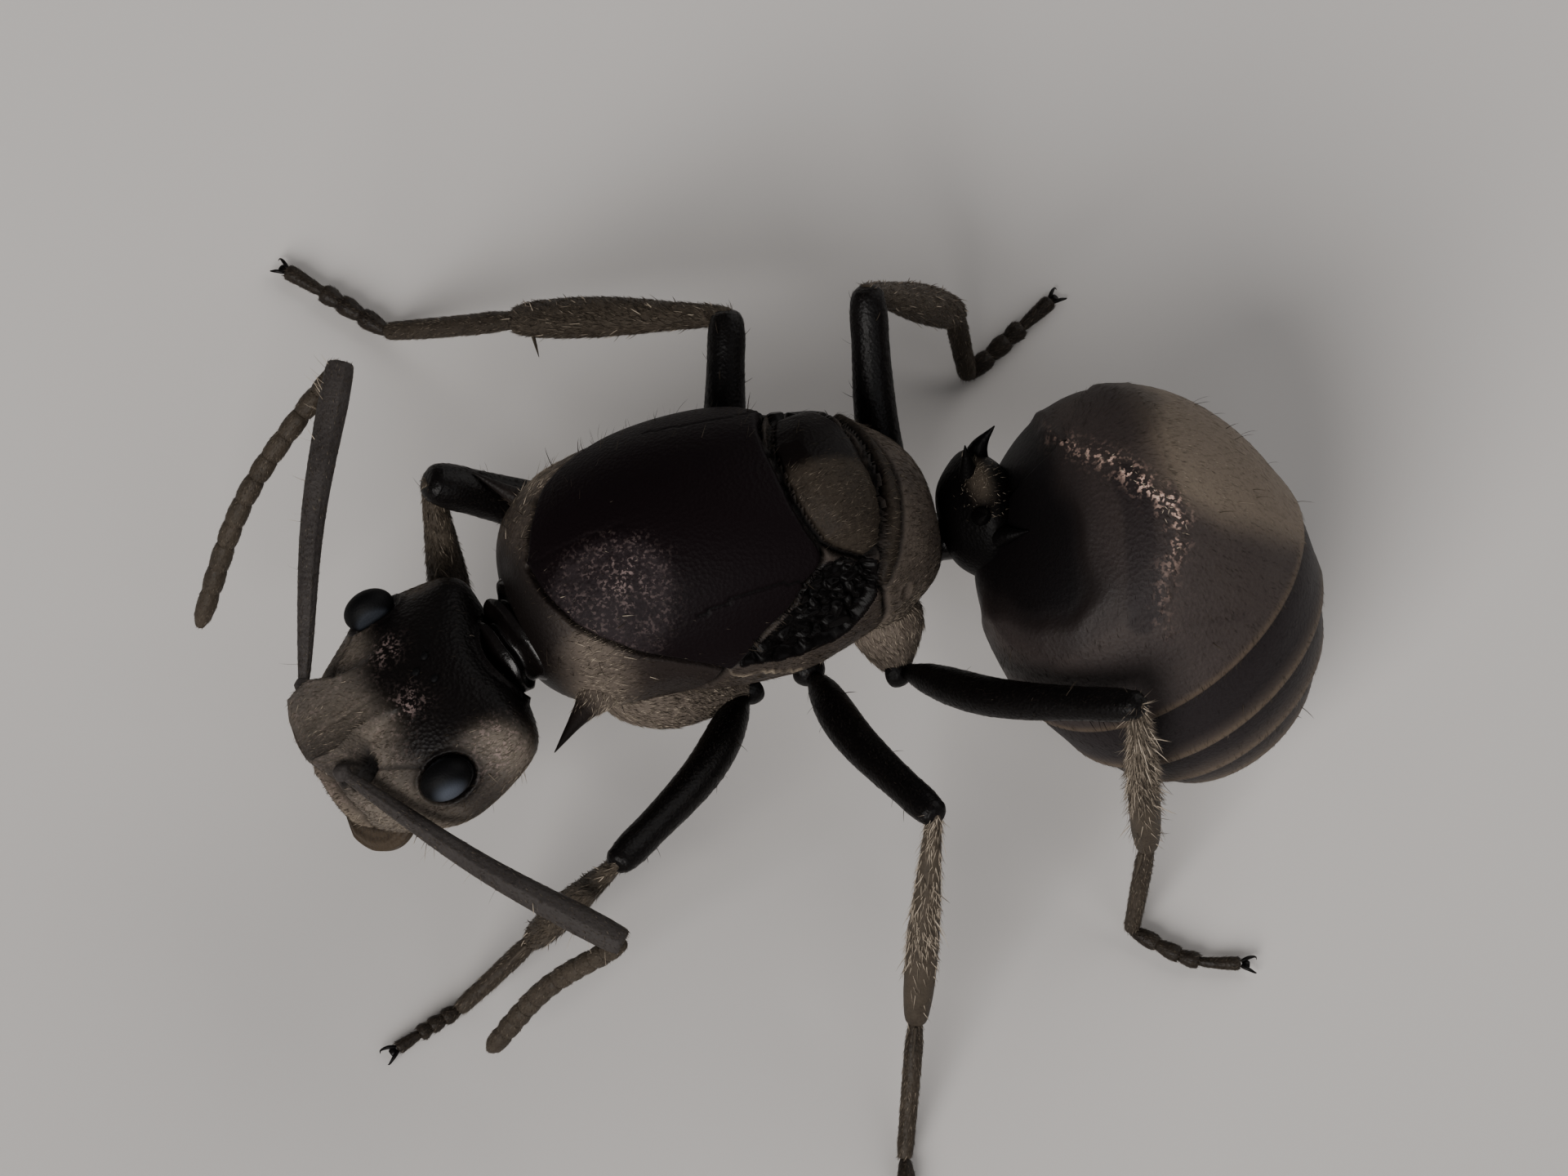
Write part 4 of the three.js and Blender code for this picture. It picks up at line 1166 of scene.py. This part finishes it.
    # the hairs thin and darken with the bare bands and the painted shade, and lighten with the golden,
    # partly painted sheen
    skin.marks["hair"] = (1 - skin.marks["gloss"]) ** 3 * (1 - 0.8 * skin.marks["band_and_shade"]) * (from_foot > 0.03)
    skin.marks["tone"] = 0.42 + 0.2 * skin.marks["gold"] - 0.36 * skin.marks["band_and_shade"]
    from_belly = np.broadcast_to(np.minimum(skin.theta, 2 * math.pi - skin.theta), distance.shape)
    back = from_belly > BELLY_HALF_ANGLE
    tergite = skin.piece(f"back_plate_{k}", gaster_shell.material, keep=back[:-1] & back[1:], rim=0.05)
    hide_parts(f"gaster_segment_{k}")
    lower = Skin(skin.points - skin.normals * 0.035, closed_ends=False)
    lower.marks = dict(skin.marks, hair=0.6 * skin.marks["hair"] * ~back)
    skin.marks["hair"] = skin.marks["hair"] * back
    front_below = from_belly < BELLY_HALF_ANGLE + 0.08
    sternite = lower.piece(
        f"belly_plate_{k}", gaster_shell.material, keep=front_below[:-1] & front_below[1:], rim=0.05
    )
    gaster_plates += [skin, lower]

# ---------------------------------------------------------------- legs
# Each of the six legs has a stout coxa, a small trochanter, a long satin femur, a haired tibia
# with a spur at its end, and a foot of five joints that ends in two hooked claws and a pad.

LEGS = ["left_fore", "left_middle", "left_hind", "right_fore", "right_middle", "right_hind"]
FOOT_HALF = 0.08
SCALES = {"left": (1.0, 1.0, 1.0), "right": (1.12, 1.3, 1.2)}
FOOT_BOWS = {"left_hind": (-0.03, -0.11, 0.0)}
KNEE_SHIFT = {"right_fore": (-0.05, -0.1, -0.02)}
HIP_SHIFT = {"right_fore": (0.0, 0.05, 0.0)}
STOUT = {"right_fore": 1.35}
# painted light: the right fore coxa, shaded by the body from the key lamp, is painted pale as if lit
COXA_PAINTED_LIGHT = {"right_fore": 0.75}
# the way a spur points, and how far above the end of the shin it stands
SPURS = {"right_middle": ((0.05, -1.0, 0.0), 0.2)}
COXA_DOWN = {"left_fore": 0.95, "left_hind": 0.95, "right_fore": 1.0}
FEMUR_WIDE = [0.11, 0.16, 0.178, 0.182, 0.178, 0.172, 0.166, 0.16, 0.16, 0.176, 0.18]
TIBIA_COLUMNS = 40
TIBIA_WIDE = [0.08, 0.09, 0.105, 0.125, 0.14, 0.146, 0.144, 0.13]
femur_shell = cuticle("femur_shell", linear("080606"), linear("2a231e"), 0.03, 0.4)
legs = {}
for leg in LEGS:
    coxa_middle = points_of(f"{leg}_coxa").mean(0)
    knee = far_end(f"{leg}_femur", coxa_middle, past=0.02)
    hip = far_end(f"{leg}_femur", knee, past=0.3)
    ankle = far_end(f"{leg}_tibia", knee)
    ball = far_end(f"{leg}_basitarsus", ankle)
    toe = far_end(f"{leg}_tarsus_tip", ball)
    knee = knee + KNEE_SHIFT.get(leg, (0, 0, 0))
    hip = hip + HIP_SHIFT.get(leg, (0, 0, 0))
    thigh_middle = middle_of(f"{leg}_femur", hip, knee)
    ball[2] = 1.2 * FOOT_HALF + 0.02
    toe[2] = 1.2 * FOOT_HALF - 0.005
    inward = np.array([coxa_middle[0], THORAX[1], 1.95])
    root = coxa_middle + 0.35 * unit(inward - coxa_middle)
    bent = [root, (root + hip) / 2 + [0, 0, -0.03], hip]
    if leg == "left_fore":
        bent = [THORAX + [-1.32, -0.5, 1.98], THORAX + [-0.9, -0.84, 1.92], hip]
    coxa = Skin(tube(curve(bent, 20), [0.3, 0.35, 0.33, 0.25, 0.16], columns=48, rows=56, blunt=0.3))
    thick, slim, foot_size = SCALES[leg.split("_")[0]]
    thick = STOUT.get(leg, thick)
    thigh = unit(knee - hip)
    trochanter = tube([hip - 0.06 * thigh, hip + 0.04 * thigh, hip + 0.13 * thigh], [0.12, 0.16, 0.14, 0.11],
                      columns=26, rows=20)
    femur = Skin(tube(
        curve([hip + 0.13 * thigh, thigh_middle, knee + 0.03 * thigh], 30),
        thick * np.array(FEMUR_WIDE), 0.95 * thick * np.array(FEMUR_WIDE),
        columns=48, rows=96, blunt=0.3,
    ))
    shin = unit(ankle - knee)
    tibia = Skin(tube(
        curve([knee - 0.03 * shin, (knee + ankle) / 2 + [0, 0, 0.03], ankle], 30),
        slim * np.array(TIBIA_WIDE), 0.92 * slim * np.array(TIBIA_WIDE),
        columns=TIBIA_COLUMNS, rows=84, blunt=0.2,
    ))
    foot_way = unit(ball - ankle)
    spur_way, higher = SPURS.get(leg, (foot_way, 0.0))
    spur_way = np.array(spur_way)
    below = unit(np.cross(shin, np.cross(spur_way, shin)) + 1e-6)
    spur_foot = ankle - higher * shin
    spur = tube(curve([spur_foot + 0.08 * below, spur_foot + 0.1 * below + 0.12 * spur_way,
                       spur_foot + 0.13 * below + 0.25 * spur_way], 8),
                [0.022, 0.018, 0.012, 0.004], columns=10, rows=16)
    basitarsus = Skin(tube(
        curve([ankle - 0.02 * foot_way, (ankle + ball) / 2 + [0, 0, -0.02], ball], 24),
        foot_size * np.array([0.075, 0.085, 0.08, 0.078, 0.078, 0.084]), columns=30, rows=60, blunt=0.2,
    ))
    line = curve([ball, (ball + toe) / 2 + FOOT_BOWS.get(leg, (0, 0, 0.01)), toe], 200)
    foot = []
    for a, b in [(0.0, 0.25), (0.22, 0.45), (0.42, 0.62), (0.59, 0.94)]:
        wide = [0.05, 0.065, 0.078, 0.08] if b < 0.9 else [0.045, 0.05, 0.058, 0.072]
        wide = foot_size * np.array(wide)
        foot.append(Skin(tube(line[int(a * 199):int(b * 199)][::4], wide, columns=24, rows=26, blunt=0.2)))
    ahead = unit(toe - line[150])
    beside = unit(np.cross(ahead, [0, 0, 1]))
    claws = []
    for sign in (-1, 1):
        start = line[186]
        hook = [start + 0.02 * beside * sign, start + 0.07 * ahead + 0.055 * beside * sign + [0, 0, 0.01],
                start + 0.13 * ahead + 0.075 * beside * sign + [0, 0, -0.02],
                start + 0.145 * ahead + 0.06 * beside * sign + [0, 0, -0.055]]
        claws.append(tube(curve(hook, 14), [0.022, 0.02, 0.016, 0.01, 0.003], columns=12, rows=26))
    pad = tube([line[188] + [0, 0, -0.01], line[188] + 0.07 * ahead + [0, 0, -0.02]],
               [0.03, 0.042, 0.04], [0.02, 0.026, 0.02], columns=16, rows=12)
    knee_cap = tube([knee - 0.12 * thigh, knee + 0.05 * thigh], thick * np.array([0.1, 0.13, 0.1]),
                    columns=24, rows=18)
    pieces = {
        "coxa": ([coxa], downy_shell, COXA_DOWN.get(leg, 0.7), "black_cuticle", "coxa"),
        "trochanter": ([trochanter], femur_shell, 0.2, "black_cuticle", None),
        "thigh": ([femur], femur_shell, 0.1, "black_cuticle", "femur"),
        "knee": ([knee_cap], femur_shell, 0.15, "black_cuticle", None),
        "shin": ([tibia, spur], limb_shell, 0.6, "limb_cuticle", "tibia"),
        "long_foot_joint": ([basitarsus], limb_shell, 0.5, "limb_cuticle", "basitarsus"),
        "foot_joints": (foot, limb_shell, 0.35, "limb_cuticle", "tarsus_tip"),
        "claws": ([*claws, pad], femur_shell, 0.0, "limb_cuticle", None),
    }
    for name, (grids, material, down, slot, node) in pieces.items():
        pale = COXA_PAINTED_LIGHT.get(leg, 0.0) if name in ("coxa", "trochanter") else 0.0
        piece = joined(f"{leg}_{name}", grids, material, down, 0.1, pale)
        if node:
            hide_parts(f"{leg}_{node}")
    legs[leg] = {"coxa": coxa, "femur": femur, "tibia": tibia, "basitarsus": basitarsus, "foot": foot}

# ---------------------------------------------------------------- coat
# Silky grey-gold hairs lie along the shell, each a thin closed spike whose root is sunk into it.
# They are short on the face, the feelers and the feet. A few longer bristles stand up from the edges.

PATCH = 0.003
rng = np.random.default_rng(7)


def sprout(skin, density, weight, length, width, lift, ahead=1, spread=0.3, steps=1, bend=0.0, shade=0.5):
    """Closed spikes rooted on a skin. density is their number per square millimetre where the weight
    is 1. They lie along the skin's flow, or against it, at a slope of lift degrees. shade is how
    pale they are, from 0 to 1, all over or for each point of the skin."""
    p = skin.points

    def corners(values):
        values = np.asarray(values)
        after = np.roll(values, -1, axis=1)
        return np.stack([values[:-1], values[1:], after[1:], after[:-1]])

    c0, c1, c2, c3 = corners(p)
    area = np.linalg.norm(np.cross(c2 - c0, c3 - c1), axis=-1) / 2
    load = (area * corners(np.broadcast_to(weight, p.shape[:2])).mean(0)).ravel()
    count = int(density * load.sum())
    chosen = rng.choice(len(load), count, p=load / load.sum())
    u, v = rng.random((2, count))
    share = np.stack([(1 - u) * (1 - v), u * (1 - v), u * v, (1 - u) * v])

    def at_roots(values):
        values = corners(values)
        values = values.reshape(4, len(load), -1)[:, chosen]
        return (values * share[..., None]).sum(0)

    root, normal = at_roots(p), unit(at_roots(skin.normals))
    flow = ahead * unit(at_roots(skin.flow))
    aside = np.cross(normal, flow)
    swirl = 0.3 * np.sin(2.2 * root[:, 0] + 1.7 * root[:, 1]) + rng.normal(0, spread, count)
    lay = flow * np.cos(swirl)[:, None] + aside * np.sin(swirl)[:, None]
    slope = np.radians(lift * rng.uniform(0.6, 1.4, count))[:, None]
    tall = length * rng.uniform(0.6, 1.25, count)[:, None]
    across = np.cross(normal, lay)
    rings = []
    at = root - 0.004 * normal
    for step in range(steps + 1):
        t = step / steps
        now = slope * (1 - bend * t)
        half = width / 2 * (1 - 0.5 * t)
        if step < steps:
            rings += [at - half * across, at + half * across, at + half * normal]
        else:
            rings.append(at)
        at = at + tall / steps * (lay * np.cos(now) + normal * np.sin(now))
    points = np.stack(rings, axis=1)
    faces = [(0, 2, 1, 1)]
    for step in range(steps - 1):
        a = 3 * step
        faces += [(a, a + 1, a + 4, a + 3), (a + 1, a + 2, a + 5, a + 4), (a + 2, a, a + 3, a + 5)]
    a = 3 * (steps - 1)
    faces += [(a, a + 1, a + 3, a + 3), (a + 1, a + 2, a + 3, a + 3), (a + 2, a, a + 3, a + 3)]
    row, column = np.divmod(chosen, area.shape[1])
    unwrap = np.stack([(column + v) / area.shape[1], (row + u) / area.shape[0]], axis=1)
    spot = np.stack([0.5 + 0.5 * np.cos(2.1 * np.arange(points.shape[1])),
                     np.linspace(0, 1, points.shape[1])], axis=1)
    shade = at_roots(np.broadcast_to(shade, p.shape[:2]))
    tone = np.clip(shade * (1 + rng.normal(0, 0.25, (count, 1))), 0, 1)
    return points, np.array(faces), unwrap, spot, tone


def coat(name, slot, *beds):
    """One mesh object of all the hairs of some beds, each bed with its own tile of the unwrap."""
    points, quads, marks, uv = [], [], [], []
    count = 0
    for tile, (spikes, faces, unwrap, spot, tone) in enumerate(beds):
        amount, size = spikes.shape[:2]
        starts = count + size * np.arange(amount)
        quads.append((starts[:, None, None] + faces).reshape(-1, 4))
        points.append(spikes.reshape(-1, 3))
        marks.append(np.repeat(tone, size, axis=1).ravel())
        place = (unwrap * 0.98 + 0.005 + [tile, 0]) / [len(beds), 1]
        uv.append((place[:, None] + PATCH * spot).reshape(-1, 2))
        count += amount * size
    tones = {"tone": np.concatenate(marks)}
    piece = solid_mesh(name, np.vstack(points), np.vstack(quads), down_hair.material, tones, np.vstack(uv))


down_hair = Shader("down_hair", Roughness=0.55, Specular_IOR_Level=0.12)
tone = down_hair.marked("tone")
dull = down_hair.mix(tone.between(0.0, 0.5), linear("0a0707"), linear("40382f"))
down_hair.set(Base_Color=down_hair.mix(tone.between(0.4, 1.0), dull, linear("b0a392")))

on_scutum = scutum_in > 0
open_down = thorax.marks["down"] * (1 - thorax.marks["dark"]) * (1 - thorax.marks["gloss"])
edges = hump(scutum_in, 0.05, 0.08) * smooth(np.abs(ty), 0.5, 0.9)
# the hairs take the down's paleness, so they carry its painted light on the scutum and scutellum too
paleness = 0.24 + 0.34 * thorax.marks["down"] + 0.14 * shoulder
coat(
    "thorax_down", "downy_cuticle",
    sprout(thorax, 2200, open_down ** 1.3 * ~on_scutum, 0.09, 0.007, 6, shade=paleness),
    sprout(thorax, 900, open_down ** 2 * on_scutum, 0.05, 0.007, 9, shade=0.5),
    sprout(thorax, 60, shoulder * open_down, 0.14, 0.011, 25, shade=0.85),
    *[sprout(spine, 1500, spine.marks["down"], 0.08, 0.008, 14, shade=0.62) for spine in spines],
    sprout(scale, 1500, scale.marks["down"], 0.055, 0.007, 40, spread=0.9, shade=0.52),
    sprout(thorax, 30, smooth(ty, 0.25, 0.6) * smooth(tz, 2.9, 3.1) * (wing_in < -0.05), 0.13, 0.007, 65,
           steps=3, shade=0.25),
    sprout(thorax, 12, edges + shoulder + 0.05 * (tz < 3.4), 0.16, 0.009, 62,
           spread=0.8, steps=3, bend=0.5, shade=0.3),
)
open_face = head.marks["down"] * (1 - head.marks["dark"]) * (orbit > 1.1)
coat(
    "head_down", "downy_cuticle",
    sprout(head, 3600, open_face ** 1.5, 0.06, 0.007, 9, ahead=-1, shade=0.2 + 0.36 * head.marks["down"]),
    sprout(head, 45, face * open_face, 0.08, 0.008, 14, ahead=-1, shade=0.7),
    sprout(head, 10, (0.1 + corner + 3 * corner * near) * (orbit > 1.2), 0.14, 0.009, 60,
           ahead=-1, spread=0.8, steps=3, bend=0.4, shade=0.6),
)
front_plate = gaster_plates[0]
coat(
    "gaster_down_front", "gaster_cuticle",
    sprout(front_plate, 1200, front_plate.marks["hair"], 0.09, 0.006, 3,
           spread=0.15, shade=front_plate.marks["tone"]),
    # pale spikes along the glint line: painted highlight in hair
    sprout(front_plate, 200, front_plate.marks["glint"] ** 2, 0.05, 0.012, 14, spread=0.8, shade=0.85),
)
coat(
    "gaster_down_rear", "gaster_cuticle",
    *[sprout(plate, 1200, plate.marks["hair"], 0.09, 0.006, 4, spread=0.15, shade=plate.marks["tone"])
      for plate in gaster_plates[1:]],
    *[sprout(plate, 3, plate.marks["hair"], 0.16, 0.009, 50, steps=3, bend=0.5, shade=0.4)
      for plate in gaster_plates],
)
for side in EYES:
    lashes = [sprout(bead, 2600, 1.0, 0.04, 0.007, 14, shade=0.42) for bead in feelers[side]["beads"]]
    shaft = feelers[side]["shaft"]
    coat(
        f"feeler_down_{side}", "limb_cuticle", *lashes,
        sprout(shaft, 1200, 1.0, 0.05, 0.007, 8, shade=0.42),
        sprout(shaft, 45, feelers[side]["outer"], 0.17, 0.01, 75, steps=3, bend=0.2, shade=0.9),
    )
CLUMPS_DOWN = 40
CLUMPS_TURN = 6.28
# density, length, slope, paleness, and how far down the shin the long hair reaches
SHAGGY = {"left_hind": (1300, 0.17, 20, 0.64, 0.66), "left_middle": (1200, 0.12, 15, 0.8, 0.72)}
for leg, parts in legs.items():
    density, length, lift, shade, part = SHAGGY.get(leg, (1700, 0.08, 12, 0.42, 2.0))
    rows = len(parts["tibia"].points)
    down_leg = np.linspace(0, 1, rows)[:, None]
    upper = 0.1 + 0.9 * smooth(part - down_leg, 0.0, 0.2)
    if leg == "left_middle":
        around_leg = np.linspace(0, CLUMPS_TURN, TIBIA_COLUMNS)
        clumps = np.sin(CLUMPS_DOWN * down_leg + 3 * np.sin(3 * around_leg))
        upper = upper * (0.3 + 0.7 * smooth(clumps, -0.4, 0.5))
    beds = [
        sprout(parts["coxa"], 1300, 1.0, 0.09, 0.008, 9, shade=0.6),
        sprout(parts["femur"], 900, 1.0, 0.06, 0.007, 7, shade=0.1),
        sprout(parts["femur"], 8, 1.0, 0.13, 0.009, 55, steps=3, bend=0.4, shade=0.3),
        sprout(parts["tibia"], density, upper, length, 0.009, lift, shade=shade),
        sprout(parts["tibia"], 50, upper, 1.4 * length, 0.011, 2 * lift,
               steps=3, bend=0.4, shade=shade + 0.15),
        sprout(parts["basitarsus"], 2000, 1.0, 0.06, 0.007, 14, shade=0.45),
    ]
    beds += [sprout(joint, 2000, 1.0, 0.045, 0.007, 16, shade=0.36) for joint in parts["foot"]]
    coat(f"{leg}_down", "limb_cuticle", *beds)
